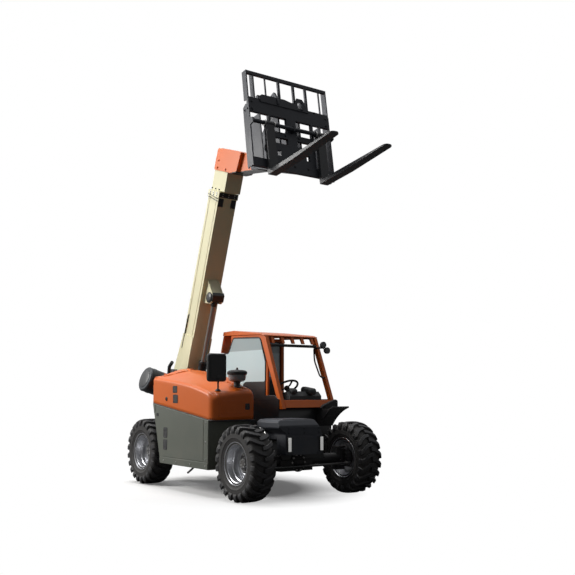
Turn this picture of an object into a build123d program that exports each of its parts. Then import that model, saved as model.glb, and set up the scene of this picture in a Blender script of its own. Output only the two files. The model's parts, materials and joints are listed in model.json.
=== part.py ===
"""Compact telehandler: telescopic boom beside an open cab, with a pallet fork carriage.

Modelled in millimetres about the ground point below the middle of the front axle,
+X forward, +Y to the machine's left, +Z up. Every piece is moved by ORIGIN_SHIFT on
export, so the origin ends up below the middle of the whole machine.
"""
import os
from math import cos, radians, sin

from build123d import *

# Driving dimensions ---------------------------------------------------------------
ORIGIN_SHIFT = 767.8                     # front axle ahead of the origin
WHEELBASE = 2290.0
TYRE_R, TYRE_W = 420.0, 305.0
RIM_R = 205.0                            # rim's bead seat
TRACK_HALF = 752.5                       # machine's middle to a wheel's middle
KINGPIN_Y = 600.0
TIE_ROD_OUT = 130.0                      # tie rod outboard of each axle line, fore or aft
TIE_END_Y = KINGPIN_Y + 25.0
BOOM_Y = -110.0                          # centre plane of the boom
BOOM_HALF = 140.0
BOOM_ANGLE = 71.2                        # above horizontal, as it stands
HINGE_X, HINGE_Z = -2550.0, 1420.0       # boom hinge
CYL_X, CYL_Z = -2346.0, 717.0            # lift cylinder's lower pin
CYL_PIN = (1222.7, -425.5)               # its upper pin, along and above the boom line
HEAD_PIN = (3077.7, -1021.5)             # carriage pivot, along and above the boom line
CARRIAGE_TILT = 8.5                      # forks tipped up, as it stands
FACE = 677.0                             # carriage pivot to the forks' front face
FORK_DROP = 430.0                        # carriage pivot down to the underside of the forks
FORK_THICK, FORK_WIDE, FORK_LENGTH = 49.0, 120.0, 1130.0
CARRIAGE_HALF = 600.0
BACKREST_TOP = 871.0
CAB_RIGHT, CAB_LEFT = 45.0, 880.0
CAB_FLOOR = 661.0
PANEL_Y = -870.0                         # outer face of the engine bay
BAY_INNER = -320.0                       # inner face of the engine bay
HOOD_INNER = -272.0                      # hood's side towards the boom
SHEET = 20.0                             # thickness of panels
RUN = 0.3                                # gap between curved faces of different bodies
TOW_PIN_R = 16.0                         # hole for a towing pin at the back

shapes = {}


def add(name, *solids):
    """Names a piece made of one solid or several joined ones."""
    whole = solids[0]
    for solid in solids[1:]:
        whole = whole + solid
    shapes[name] = whole
    return whole


def trim(name, *others):
    """Cuts the named piece back from its neighbours."""
    for other in others:
        shapes[name] = shapes[name] - shapes[other]


def box(x, y, z):
    """A block between the two ends given for each axis."""
    size = [abs(end[1] - end[0]) for end in (x, y, z)]
    return Pos(sum(x) / 2, sum(y) / 2, sum(z) / 2) * Box(*size)


def rod(start, end, radius, bore=0):
    """A round bar, or a tube where a bore is given, from one point to another."""
    line = Vector(*end) - Vector(*start)
    ends = Circle(radius) - Circle(bore) if bore else Circle(radius)
    return extrude(Plane(origin=start, z_dir=line) * ends, line.length)


def drawn(plane, points, depth, corner=0):
    """A plate of an outline drawn on a plane, rounded at its corners, thickened along its normal."""
    outline = Polygon(*points, align=None)
    if corner:
        outline = fillet(outline.vertices(), corner)
    return extrude(plane * outline, depth, dir=plane.z_dir)


def side(points, y, corner=0):
    """A plate with an outline in the XZ plane, between two values of Y."""
    plane = Plane(origin=(0, max(y), 0), x_dir=(1, 0, 0), z_dir=(0, -1, 0))
    return drawn(plane, points, max(y) - min(y), corner)


def cross(points, x, corner=0):
    """A plate with an outline in the YZ plane, between two values of X."""
    plane = Plane(origin=(min(x), 0, 0), x_dir=(0, 1, 0), z_dir=(1, 0, 0))
    return drawn(plane, points, max(x) - min(x), corner)


def turned(points, centre, facing=1):
    """A ring about a line along Y through centre, from (radius, y) points, y outwards."""
    outline = make_face(Polyline(*[(r, 0, facing * y) for r, y in points], close=True))
    return Pos(*centre) * Rot(-90, 0, 0) * revolve(outline, Axis.Z)


# Chassis ----------------------------------------------------------------------------
FRAME_HALF, FRAME_LOW, FRAME_TOP = 300.0, 430.0, 660.0
FRAME_BACK, FRAME_FRONT = -2660.0, 60.0
frame_wall = 22.0
outside = box((FRAME_BACK, FRAME_FRONT), (-FRAME_HALF, FRAME_HALF), (FRAME_LOW, FRAME_TOP))
space = box((FRAME_BACK + frame_wall, FRAME_FRONT - frame_wall),
            (-FRAME_HALF + frame_wall, FRAME_HALF - frame_wall),
            (FRAME_LOW + frame_wall, FRAME_TOP - frame_wall))
add("chassis_frame", outside - space)

TOWER_GAP = 175.0                        # boom's centre plane to the tower's plates
LUG_GAP = 64.0                           # the same to the lift cylinder's lugs
tower = [(-2655, 660), (-2060, 660), (-2300, 990), (-2460, 1500), (-2640, 1500), (-2655, 1440)]
lug = [(-2450, 660), (-2240, 660), (-2290, 790), (-2400, 790)]
pieces = []
for s in (-1, 1):
    pieces.append(side(tower, (BOOM_Y + s * TOWER_GAP, BOOM_Y + s * (TOWER_GAP + 30)), 25))
    pieces.append(side(lug, (BOOM_Y + s * LUG_GAP, BOOM_Y + s * (LUG_GAP + 30)), 20))
    pieces.append(rod((HINGE_X, BOOM_Y + s * (TOWER_GAP - 8), HINGE_Z),
                      (HINGE_X, BOOM_Y + s * (TOWER_GAP + 45), HINGE_Z), 85))
pieces.append(rod((HINGE_X, BOOM_Y - TOWER_GAP, HINGE_Z), (HINGE_X, BOOM_Y + TOWER_GAP, HINGE_Z), 40))
pieces.append(rod((CYL_X, BOOM_Y - LUG_GAP - 30, CYL_Z), (CYL_X, BOOM_Y + LUG_GAP + 30, CYL_Z), 30))
pieces.append(box((-2655, -2180), (BOOM_Y - TOWER_GAP - 30, BOOM_Y - LUG_GAP), (660.3, 690)))
pieces.append(box((-2655, -2180), (BOOM_Y + LUG_GAP, BOOM_Y + TOWER_GAP + 30), (660.3, 690)))
pieces.append(box((-2655, -2470), (BOOM_Y - LUG_GAP, BOOM_Y + LUG_GAP), (660.3, 690)))
pieces.append(box((-2655, -2625), (BOOM_Y - TOWER_GAP, BOOM_Y + TOWER_GAP), (680, 1200)))
add("boom_tower", *pieces)
shapes["boom_tower"] = shapes["boom_tower"] - box((-2700, -2000), (-400, 200), (600, 660.3))

nose_side = [(60.5, 500), (240, 500), (240, 820), (190, 885), (-200, 885), (-200, 660.5), (60.5, 660.5)]
nose_front = [(-375, 480), (140, 480), (140, 720), (60, 880), (-180, 905), (-400, 905), (-465, 860), (-465, 795),
              (-375, 730)]
add("front_nose", side(nose_side, (-465, 140)) & cross(nose_front, (-300, 300)))
tow_lug = box((-2790, -2719), (-60, 60), (480, 505)) - Pos(-2755, 0, 490) * Cylinder(TOW_PIN_R, 80)
add("counterweight", side([(-2720, 430), (-2660.5, 430), (-2660.5, 1000), (-2720, 920)], (-330, 330)), tow_lug)
add("fuel_tank", side([(-1680, 300), (-700, 300), (-640, 360), (-640, 640), (-1740, 640), (-1740, 360)],
                      (300.5, 800), 40))

add("prop_shaft", rod((-200.5, -80, 396), (-WHEELBASE + 200.5, -80, 396), 30))

# Axles, steering and wheels -----------------------------------------------------------
EAR_LOW, EAR_HIGH, EAR_R = 105.0, 135.0, 48.0
for end, axle_x, facing in (("front", 0.0, 1), ("rear", -WHEELBASE, -1)):
    z = TYRE_R
    roof_cut = box((axle_x - 300, axle_x + 300), (-310, 310), (FRAME_LOW - 0.5, 800))
    pieces = [Pos(axle_x, -80, z) * Sphere(115), box((axle_x - 75, axle_x + 75), (-330, 120), (308, 429.5)),
              rod((axle_x, -545, z), (axle_x, 545, z), 60),
              rod((axle_x, -80, z - 20), (axle_x - facing * 200, -80, z - 20), 60)]
    for s in (-1, 1):
        kingpin = (axle_x, s * KINGPIN_Y)
        pieces.append(box((axle_x - EAR_R, axle_x + EAR_R), (s * 505, s * 555), (z - EAR_HIGH, z + EAR_HIGH)))
        for up in (-1, 1):
            pieces.append(rod((*kingpin, z + up * EAR_LOW), (*kingpin, z + up * EAR_HIGH), EAR_R))
            pieces.append(box((axle_x - EAR_R, axle_x + EAR_R), (s * 515, s * KINGPIN_Y),
                              (z + up * EAR_LOW, z + up * EAR_HIGH)))
            pieces.append(rod((*kingpin, z + up * 60), (*kingpin, z + up * 120), 20))
    add(f"{end}_axle", *pieces)
    shapes[f"{end}_axle"] = shapes[f"{end}_axle"] - roof_cut

    tie_x = axle_x + facing * TIE_ROD_OUT
    add(f"{end}_tie_rod", rod((tie_x, -TIE_END_Y, z - 60), (tie_x, TIE_END_Y, z - 60), 14),
        *[rod((tie_x, s * TIE_END_Y, z - 76), (tie_x, s * TIE_END_Y, z - 44), 22) for s in (-1, 1)])

    for s, hand in ((-1, "right"), (1, "left")):
        kingpin = (axle_x, s * KINGPIN_Y)
        barrel = rod((*kingpin, z - 99), (*kingpin, z + 99), 38)
        flange = rod((axle_x, s * (KINGPIN_Y + 10), z), (axle_x, s * 690, z), 95)
        reach = (tie_x - axle_x, s * (TIE_END_Y - KINGPIN_Y))
        outline = Circle(30) + Pos(*reach) * Circle(22) + Polygon(
            (0, -14), (0, 14), (reach[0], reach[1] + 14), (reach[0], reach[1] - 14), align=None)
        arm = extrude(Pos(*kingpin, z - 98) * outline, 16, dir=(0, 0, 1))
        bore = rod((*kingpin, z - 100), (*kingpin, z + 100), 20 + RUN)
        spindle = rod((axle_x, s * 660, z), (axle_x, s * 760, z), 40)
        add(f"{end}_{hand}_knuckle", (barrel + flange + arm) - bore, spindle)

        centre = (axle_x, s * TRACK_HALF, z)
        half, bead, seat = TYRE_W / 2, RIM_R + 27, RIM_R + 3
        add(f"{end}_{hand}_tyre", turned(
            [(seat, -118), (bead, -118), (330, -half + 2), (TYRE_R - 35, -half), (TYRE_R, -half + 45),
             (TYRE_R, half - 45), (TYRE_R - 35, half), (330, half - 2), (bead, 118), (seat, 118)], centre))
        well = turned(
            [(40 + RUN, -52), (150, -52), (176, -20), (188, -20), (188, -118), (196, -126), (bead - 5, -126),
             (bead - 5, -118), (seat, -118), (seat, 118), (bead - 5, 118), (bead - 5, 126), (196, 126),
             (188, 118), (188, -6), (160, -6), (140, -38), (40 + RUN, -38)], centre, s)
        cap = turned([(40 + RUN, -40), (75, -40), (75, 20), (62, 32), (0, 32), (0, 14), (40 + RUN, 14)],
                     centre, s)
        add(f"{end}_{hand}_rim", well, cap)

# Engine bay and hood --------------------------------------------------------------------
skin = [(-590, 305), (-1780, 305), (-1950, 857), (-2010, 1046), (-590, 869)]
walls = [(-590, 305), (-1750, 305), (-1750, 640), (-1840, 850), (-2010, 1046), (-590, 869)]
hollow = [(-610, 200), (-1730, 200), (-1730, 640), (-1822, 846), (-2000, 1200), (-610, 1200)]
bay = side(walls, (PANEL_Y, BAY_INNER)) - side(hollow, (PANEL_Y + SHEET, BAY_INNER + 10))
add("side_panel", side(skin, (PANEL_Y, PANEL_Y + SHEET)), bay - box((-2100, -500), (-420, -250), (200, 520)))
inner_wall = [(-1985, 661), (-600, 661), (-600, 862), (-1985, 1034)]
add("bay_wall", side(inner_wall, (BAY_INNER + 1, BAY_INNER + 13)))
add("engine_cradle", box((-1729, -611), (PANEL_Y + SHEET + 1, -FRAME_HALF - 0.5), (400, 440)))
add("engine_block", box((-1690, -1050), (-760, -345), (440.5, 900)))

HOOD_RISE = 135.0                        # hood's crown above its outer edge
hood_stations = ((-2016, 1372), (-1990, 1376), (-1379, 1316), (-1000, 1266), (-760, 1210),
                 (-612, 1147), (-556, 1080), (-520, 960))   # x, height of the outer edge


def hood_section(x, edge, inset):
    """The hood's outline at one station, inset by the sheet's thickness for its inside."""
    right, left, low = PANEL_Y + inset, HOOD_INNER - inset, 840.0
    top = edge + HOOD_RISE - inset
    points = [(right, low), (right, edge - 70), (right + 14, edge - 12 - inset / 2), (right + 60, edge + 24 - inset),
              (-620, top - 40), (-440, top), (left - 90, top), (left - 25, top - 30), (left, top - 95), (left, low)]
    return make_face(Polyline(*[(x, y, z) for y, z in points], close=True))


HINGE_LINE_X, HINGE_LINE_Z = -2038.0, 1405.0   # hood's hinge, along Y behind its back wall
shell = loft([hood_section(x, edge, 0) for x, edge in hood_stations], ruled=True)
front_x, back_x = hood_stations[-1][0] - SHEET, hood_stations[0][0] + SHEET
inner_stations = [(back_x, 1373)] + list(hood_stations[2:-2]) + [(hood_stations[-2][0] - SHEET, 1080), (front_x, 960)]
cavity = loft([hood_section(x, edge, SHEET) for x, edge in inner_stations], ruled=True)
below = side([(-2300, 700), (-2200, 1072), (-590, 870.5), (-400, 847), (-400, 600)], (PANEL_Y - 10, -200))
ears = [rod((HINGE_LINE_X, y, HINGE_LINE_Z), (HINGE_LINE_X, y + 24, HINGE_LINE_Z), 24)
        + box((HINGE_LINE_X, -2006), (y, y + 24), (HINGE_LINE_Z - 24, HINGE_LINE_Z + 24)) for y in (-700, -420)]
hinge_bore = rod((HINGE_LINE_X, -760, HINGE_LINE_Z), (HINGE_LINE_X, -300, HINGE_LINE_Z), 13 + RUN)
add("hood", shell - cavity - below, *[ear - hinge_bore for ear in ears])
add("hood_hinge", rod((HINGE_LINE_X, -740, HINGE_LINE_Z), (HINGE_LINE_X, -320, HINGE_LINE_Z), 13),
    side([(-2440, 1360), (-2040, HINGE_LINE_Z - 13), (-2040, HINGE_LINE_Z + 13), (-2440, 1430)], (-340, -315.5)))

mirror = box((-642, -598), (-885, -625), (1308, 1642))
mirror = fillet(mirror.edges().filter_by(Axis.X), 45)
mirror = fillet(mirror.faces().filter_by(Axis.X).edges(), 12)
add("mirror", mirror, rod((-624, -730, 1180), (-624, -730, 1340), 12))
PRECLEANER = (-655.0, -447.0)
add("air_precleaner", *[rod((*PRECLEANER, low), (*PRECLEANER, high), radius) for low, high, radius in
                        ((1200, 1335, 38), (1322, 1396, 104), (1390, 1450, 121), (1449, 1480, 16))])
for name in ("mirror", "air_precleaner"):
    shapes[name] = shapes[name] - shell
MUFFLER_X, MUFFLER_R = -2405.0, 165.0
drum = fillet(rod((MUFFLER_X, -800, 1366), (MUFFLER_X, -420, 1244), MUFFLER_R).edges(), 22)
tail_pipe = rod((MUFFLER_X + 15, -450, 1390), (MUFFLER_X + 30, -450, 1530), 24) + Pos(
    MUFFLER_X + 30, -450, 1530) * Sphere(24) + rod((MUFFLER_X + 30, -450, 1530), (MUFFLER_X + 110, -450, 1590), 24)
add("muffler", drum, tail_pipe, box((MUFFLER_X - 25, MUFFLER_X + 25), (-560, -315.5), (1120, 1180)))

# Cab ---------------------------------------------------------------------------------------
# A frame's outline: foot of the front post, along the top, down the rear post and back inside.
front_post = {"right": (-893, 1850), "left": (-868, 1850)}     # inner corner at the front post's top
rear_visor = [(-1795, 1934), (-1768, 1934), (-1818, 1765), (-1836, 1708), (-1862, 1712), (-1850, 1765)]
FRAME_Y = {"right": (CAB_RIGHT + 10, CAB_RIGHT + 60), "left": (CAB_LEFT - 44, CAB_LEFT)}
for hand, span in FRAME_Y.items():
    outline = [(-489, 985), (-415, 985), (-800, 1886), (-900, 1905), (-1600, 1930), (-1600, CAB_FLOOR),
               (-1540, CAB_FLOOR), (-1540, 1900), (-950, 1880), front_post[hand]]
    add(f"cab_{hand}_frame", side(outline, span, 5))
slim = side([(-785, 1120), (-745, 1120), (-745, 1500), (-785, 1600)], (CAB_RIGHT + 10, CAB_RIGHT + 40))
shapes["cab_right_frame"] = shapes["cab_right_frame"] + slim
inside_cab = (CAB_RIGHT + 60.5, CAB_LEFT - 44.5)
visor = []
for k in range(5):
    y = CAB_RIGHT + 60.5 + 40 + k * 157
    visor.append(side([(-800, 1800), (-770, 1800), (-810, 1886), (-850, 1886)], (y, y + 42)))
add("cab_crossbars", side([(-486, 1000), (-418, 1000), (-455, 1092), (-480, 1092)], inside_cab),
    side([(-850, 1868), (-812, 1868), (-820, 1889), (-890, 1902)], inside_cab) + visor[0],
    box((-1600, -1550), inside_cab, (1868, 1910)), box((-1600, -1550), inside_cab, (1240, 1290)),
    side(rear_visor, (CAB_RIGHT + 10, CAB_LEFT), 4))
for bar in visor[1:]:
    shapes["cab_crossbars"] = shapes["cab_crossbars"] + bar
roof_outline = [(-1790, 1934.5), (-1600, 1930.5), (-900, 1905.5), (-850, 1896), (-800, 1886.5), (-806, 1900),
                (-870, 1921), (-1516, 1992), (-1777, 1987)]
add("cab_roof", side(roof_outline, (CAB_RIGHT - 5, CAB_LEFT + 5)))
tub = box((-1700, -490), (CAB_RIGHT, CAB_LEFT - 20), (CAB_FLOOR, 1100)) - box(
    (-1660, -540), (CAB_RIGHT + 40, CAB_LEFT - 60), (CAB_FLOOR + 30, 1200))
doorway = box((-1250, -580), (CAB_LEFT - 100, CAB_LEFT + 100), (CAB_FLOOR + 60, 1200))
add("cab_tub", tub - doorway)
trim("cab_tub", "cab_right_frame", "cab_left_frame", "cab_crossbars")
sill = side([(-1700, 1100.5), (-500, 1100.5), (-580, 1150), (-785.5, 1150), (-785.5, 1312), (-1225, 1312), (-1275, 1290),
             (-1340, 1200), (-1780, 1200), (-1780, 1150), (-1700, 1150)], (CAB_RIGHT, CAB_RIGHT + 9.5))
add("cab_walls", sill, box((-1600, -1560), inside_cab, (1100.5, 1239.5)))
pane = [(-1800, 1200.5), (-1340.3, 1200.5), (-1275.3, 1290.5), (-1225, 1312.5), (-785.5, 1312.5), (-785.5, 1565), (-905, 1868), (-1535, 1894), (-1650, 1696), (-1800, 1696)]
add("cab_windows", side(pane, (CAB_RIGHT + 1, CAB_RIGHT + 9.5)), box((-1579, -1571), inside_cab, (1290.5, 1867.5)))
add("seat_pedestal", box((-1420, -1020), (260, 680), (CAB_FLOOR + 30.5, 900)))
seat = [(-1480, 900.5), (-980, 900.5), (-970, 1000), (-1350, 1010), (-1425, 1400), (-1525, 1400), (-1510, 1000)]
add("seat", side(seat, (230, 710), 20))
add("dashboard", side([(-700, 1000), (-541, 1000), (-541, 1140), (-600, 1196), (-690, 1180)], (250, 740), 15),
    box((-640, -541), (300, 640), (CAB_FLOOR + 30.5, 1005)))
WHEEL_AT = (-805, 388, 1250)
column = Plane(origin=WHEEL_AT, z_dir=(-0.55, 0, 0.835))
add("steering_wheel", column * Torus(150, 13), extrude(column * Circle(30), 16, both=True),
    *[extrude(column * Rot(0, 0, turn) * Pos(75, 0) * Rectangle(150, 26), 5, both=True) for turn in (90, 210, 330)],
    rod(WHEEL_AT, (-700, 388, 1100), 22))
trim("steering_wheel", "dashboard")
FENDER_R = 600.0
wheel_side = Plane(origin=(0, CAB_LEFT, TYRE_R), x_dir=(1, 0, 0), z_dir=(0, -1, 0))
sector = Polygon((0, 0), (-300, 1050), (-1000, 900), (-1000, 150), align=None)
fender_arc = (Circle(FENDER_R + 20) - Circle(FENDER_R)) & sector
add("left_fender", extrude(wheel_side * fender_arc, 260, dir=(0, -1, 0)),
    side([(-489.5, 740), (-489.5, 984), (-416, 984), (-330, 985), (-215, 982)], (CAB_LEFT - 260, CAB_LEFT - 240)))
shapes["left_fender"] = shapes["left_fender"] - box((-900, -489.5), (600, 900), (CAB_FLOOR - 0.5, 1200)) \
    - box((-600, -410), (600, 900), (984.5, 1200))
lamp_arm = rod((-752, 850, 1752), (-590, 850, 1752), 12)
lamps = [rod((-600, y, z), (-545, y, z), 42) for y, z in ((790, 1786), (852, 1716))]
add("work_lights", lamp_arm, *lamps, rod((-590, 850, 1752), (-590, 850, 1716), 12),
    rod((-590, 850, 1762), (-590, 790, 1786), 12))
trim("work_lights", "cab_left_frame")
add("front_lamps", *[box((240.5, 272), (y - 22, y + 22), (535, 695)) for y in (-337, 109)])

# Boom ----------------------------------------------------------------------------------------
# In the boom's own plane x runs from the hinge to the tip, y towards its upper side and
# depth to the machine's right of the boom's centre plane.
boom_along = (cos(radians(BOOM_ANGLE)), 0, sin(radians(BOOM_ANGLE)))
BOOM = Plane(origin=(HINGE_X, BOOM_Y, HINGE_Z), x_dir=boom_along, z_dir=(0, -1, 0))


def plate_on(plane, points, right, corner=0):
    """A plate in a machine part's own plane, between two depths to the right."""
    return drawn(plane.offset(min(right)), points, max(right) - min(right), corner)


def block_on(plane, x, y, right):
    return plate_on(plane, [(x[0], y[0]), (x[1], y[0]), (x[1], y[1]), (x[0], y[1])], right)


def disc_on(plane, at, right, radius, bore=0):
    ends = Circle(radius) - Circle(bore) if bore else Circle(radius)
    return extrude(plane.offset(min(right)) * Pos(*at) * ends, max(right) - min(right), dir=plane.z_dir)


def point_on(plane, x, y, right=0):
    return plane.from_local_coords(Vector(x, y, right))


OUTER_LENGTH, OUTER_TOP, OUTER_LOW = 2628.0, -15.5, -291.5
WALL, CHEEK = 10.0, 12.0
PIN_R = 40.0                             # boom hinge pin
both = (-BOOM_HALF, BOOM_HALF)
FOOT = 120.0                             # lower end of the outer boom's box
tube = block_on(BOOM, (FOOT, OUTER_LENGTH), (OUTER_LOW, OUTER_TOP), both) - block_on(
    BOOM, (FOOT + 20, OUTER_LENGTH + 10), (OUTER_LOW + WALL, OUTER_TOP - WALL), (-BOOM_HALF + WALL, BOOM_HALF - WALL))
collar = block_on(BOOM, (OUTER_LENGTH - 80, OUTER_LENGTH), (OUTER_LOW - 10, OUTER_TOP + 10),
                  (-BOOM_HALF - 10, BOOM_HALF + 10)) - block_on(
    BOOM, (OUTER_LENGTH - 90, OUTER_LENGTH + 10), (OUTER_LOW + 5, OUTER_TOP - 5), (-BOOM_HALF + 5, BOOM_HALF - 5))
cheek = [(-75, -10), (-30, 72), (60, 72), (620, OUTER_TOP), (620, OUTER_LOW), (FOOT, OUTER_LOW),
         (20, -120), (-60, -60)]
wedge = [(1120, OUTER_LOW), (1150, -470), (1190, -505), (1270, -505), (1450, OUTER_LOW)]
cover = [(1290, -484), (1440, OUTER_LOW), (1424, OUTER_LOW), (1281, -474)]   # closes the lugs' upper slope
pieces = [tube, collar]
for s in (-1, 1):
    pieces.append(plate_on(BOOM, cheek, (s * BOOM_HALF, s * (BOOM_HALF + CHEEK)), 10))
    pieces.append(disc_on(BOOM, (0, 0), (s * 108, s * (BOOM_HALF + CHEEK + 6)), 78))
    lug_plate = plate_on(BOOM, wedge, (s * 64, s * 86), 12)
    pieces.append(lug_plate - disc_on(BOOM, CYL_PIN, (-100, 100), 30))
    pieces.append(disc_on(BOOM, CYL_PIN, (s * 86, s * 100), 46, 30))
pieces.append(plate_on(BOOM, cover, (-64, 64)))
boom_hole = disc_on(BOOM, (0, 0), (-300, 300), PIN_R + RUN)
add("outer_boom", *pieces)
shapes["outer_boom"] = shapes["outer_boom"] - boom_hole

SLIDE = 6.0                              # clearance round the inner boom
inner_low, inner_top = OUTER_LOW + WALL + SLIDE, OUTER_TOP - WALL - SLIDE
inner_half = BOOM_HALF - WALL - SLIDE
HEAD_START = 2898.0
inner_tube = block_on(BOOM, (330, HEAD_START), (inner_low, inner_top), (-inner_half, inner_half)) - block_on(
    BOOM, (300, HEAD_START + 50), (inner_low + 9, inner_top - 9), (-inner_half + 9, inner_half - 9))
shoe = block_on(BOOM, (OUTER_LENGTH + 6.5, HEAD_START), (-381, inner_low), (-inner_half, inner_half))
add("inner_boom", inner_tube, shoe)
gooseneck = [(HEAD_START + 0.5, inner_top + 12), (3070, inner_top + 12), (3195, -130), (3195, -520), (3150, -1060),
             (3030, -1080), (2960, -700), (HEAD_START + 0.5, -440)]
head = plate_on(BOOM, gooseneck, (-130, 130), 18)
for s in (-1, 1):
    head = head - plate_on(BOOM, [(2700, -560), (3300, -640), (3300, -1200), (2700, -1200)], (s * 82, s * 200))
add("boom_head", head - disc_on(BOOM, HEAD_PIN, (-300, 300), 30 + RUN))

# Lift cylinder ----------------------------------------------------------------------------------
upper_pin = point_on(BOOM, *CYL_PIN)
lower_pin = Vector(CYL_X, BOOM_Y, CYL_Z)
aim = (upper_pin - lower_pin).normalized()
reach = (upper_pin - lower_pin).length
BARREL_R, BARREL_BORE, ROD_R = 56.0, 40.0, 32.0
BARREL_LENGTH = 930.0


def on_cylinder(distance):
    return tuple(lower_pin + aim * distance)


def across(pin, half, radius, bore=0):
    """A round piece along Y, centred on a pin of the cylinder."""
    return rod((pin.X, BOOM_Y - half, pin.Z), (pin.X, BOOM_Y + half, pin.Z), radius, bore)


barrel = rod(on_cylinder(45), on_cylinder(BARREL_LENGTH), BARREL_R, BARREL_BORE) + rod(
    on_cylinder(45), on_cylinder(75), BARREL_R)
add("lift_barrel", barrel - across(lower_pin, 80, 50), across(lower_pin, LUG_GAP - 8, 50, 30 + RUN))
shaft = rod(on_cylinder(BARREL_LENGTH - 50), on_cylinder(reach - 40), ROD_R) + rod(
    on_cylinder(BARREL_LENGTH - 50), on_cylinder(BARREL_LENGTH - 20), BARREL_BORE - RUN)
add("lift_rod", shaft - across(upper_pin, 80, 54), across(upper_pin, 56, 55, 30))

# Carriage and forks --------------------------------------------------------------------------------
# In the carriage's own plane x runs ahead of the pivot, y above it and depth to the right.
pivot = point_on(BOOM, *HEAD_PIN)
fork_along = (cos(radians(CARRIAGE_TILT)), 0, sin(radians(CARRIAGE_TILT)))
CARRIAGE = Plane(origin=pivot, x_dir=fork_along, z_dir=(0, -1, 0))
PLATE_FRONT = FACE - FORK_THICK - 8      # front of the frame behind the forks
PLATE_BACK = PLATE_FRONT - 40
wide = (-CARRIAGE_HALF, CARRIAGE_HALF)
SHAFT_UP, SHAFT_R = 208.0, 24.0
shaft_ahead = FACE - FORK_THICK / 2
# ends of each bar of the frame, above the pivot and to the right of the middle
bars = [(345, 500, *wide), (-340, -230, *wide), (-231, 5, -330, 330), (80, 150, -330, 330), (4, 346, -70, 70),
        (4, 346, -330, -300), (4, 346, 300, 330)]
frame = [block_on(CARRIAGE, (PLATE_BACK, PLATE_FRONT), (low, high), (left, right)) for low, high, left, right in bars]
for s in (-1, 1):
    end_plate = [(PLATE_BACK - 80, -325), (PLATE_FRONT, -341), (PLATE_FRONT, 420), (PLATE_FRONT - 60, 455),
                 (PLATE_BACK - 80, 420)]
    frame.append(plate_on(CARRIAGE, end_plate, (s * CARRIAGE_HALF, s * (CARRIAGE_HALF - 16)), 12))
    stiffener = [(PLATE_BACK - 170, -231), (PLATE_FRONT, -231), (PLATE_FRONT, 346), (PLATE_BACK - 170, 346)]
    frame.append(plate_on(CARRIAGE, stiffener, (s * 452, s * 440), 8))
ear = [(PLATE_FRONT - 2, SHAFT_UP - 45), (FACE, SHAFT_UP - 30), (FACE, SHAFT_UP + 30), (PLATE_FRONT - 2, SHAFT_UP + 45)]
frame += [plate_on(CARRIAGE, ear, right, 8) for right in
          ((-CARRIAGE_HALF, 16 - CARRIAGE_HALF), (-10, 10), (CARRIAGE_HALF - 16, CARRIAGE_HALF))]
frame.append(disc_on(CARRIAGE, (shaft_ahead, SHAFT_UP), wide, SHAFT_R))
add("carriage_frame", *frame)
for right in (-215, 215):
    oval = block_on(CARRIAGE, (PLATE_BACK - 1, PLATE_FRONT + 1), (-155, -85), (right - 25, right + 25))
    shapes["carriage_frame"] = shapes["carriage_frame"] - oval

arm_plate = [(-70, -60), (60, -95), (PLATE_BACK - 0.5, -330), (PLATE_BACK - 0.5, 490), (PLATE_BACK - 60, 490),
             (PLATE_BACK - 190, 420), (-40, 90)]
hook = [(PLATE_BACK - 110, 440), (PLATE_FRONT + 20, 500.5), (PLATE_FRONT + 20, 560), (PLATE_FRONT - 40, 690),
        (PLATE_BACK - 70, 670)]
coupler = []
for s in (-1, 1):
    arm = plate_on(CARRIAGE, arm_plate, (s * 140, s * 165), 18) - disc_on(CARRIAGE, (330, 90), (-300, 300), 70)
    hook_plate = plate_on(CARRIAGE, hook, (s * 165, s * 190), 14) - disc_on(
        CARRIAGE, (PLATE_BACK - 25, 607), (-300, 300), 30)
    coupler += [arm, hook_plate, disc_on(CARRIAGE, (0, 0), (s * 95, s * 165), 68)]
shield = [(PLATE_BACK - 45, 500.5), (PLATE_BACK + 5, 500.5), (PLATE_BACK - 5, 600), (PLATE_BACK - 45, 600)]
coupler += [disc_on(CARRIAGE, (0, 0), (-165, 165), 30), disc_on(CARRIAGE, (PLATE_BACK - 90, 440), (-200, 200), 38),
            plate_on(CARRIAGE, shield, (-100, 170)), plate_on(CARRIAGE, shield, (190.0, 430)),
            block_on(CARRIAGE, (PLATE_BACK - 60, PLATE_BACK - 0.5), (-300, -260), (-165, 165))]
add("quick_coupler", *coupler)
trim("quick_coupler", "carriage_frame")

rail_back, rail_front = PLATE_BACK, PLATE_BACK + 35
guard = [block_on(CARRIAGE, (rail_back, rail_front), (BACKREST_TOP - 42, BACKREST_TOP), wide),
         block_on(CARRIAGE, (rail_back, rail_front), (500.5, 530), wide)]
for s in (-1, 1):
    guard.append(block_on(CARRIAGE, (rail_back - 50, rail_front), (500.5, BACKREST_TOP),
                          (s * CARRIAGE_HALF, s * (CARRIAGE_HALF - 16))))
# offset to the right, width and depth of each upright
for right, width, depth in ((500, 16, 75), (330, 16, 20), (130, 30, 30), (-90, 30, 30), (-275, 30, 30), (-480, 16, 20)):
    guard.append(block_on(CARRIAGE, (rail_front - depth, rail_front), (515, BACKREST_TOP - 20),
                          (right - width / 2, right + width / 2)))
add("backrest", *guard)
trim("quick_coupler", "backrest")

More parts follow.
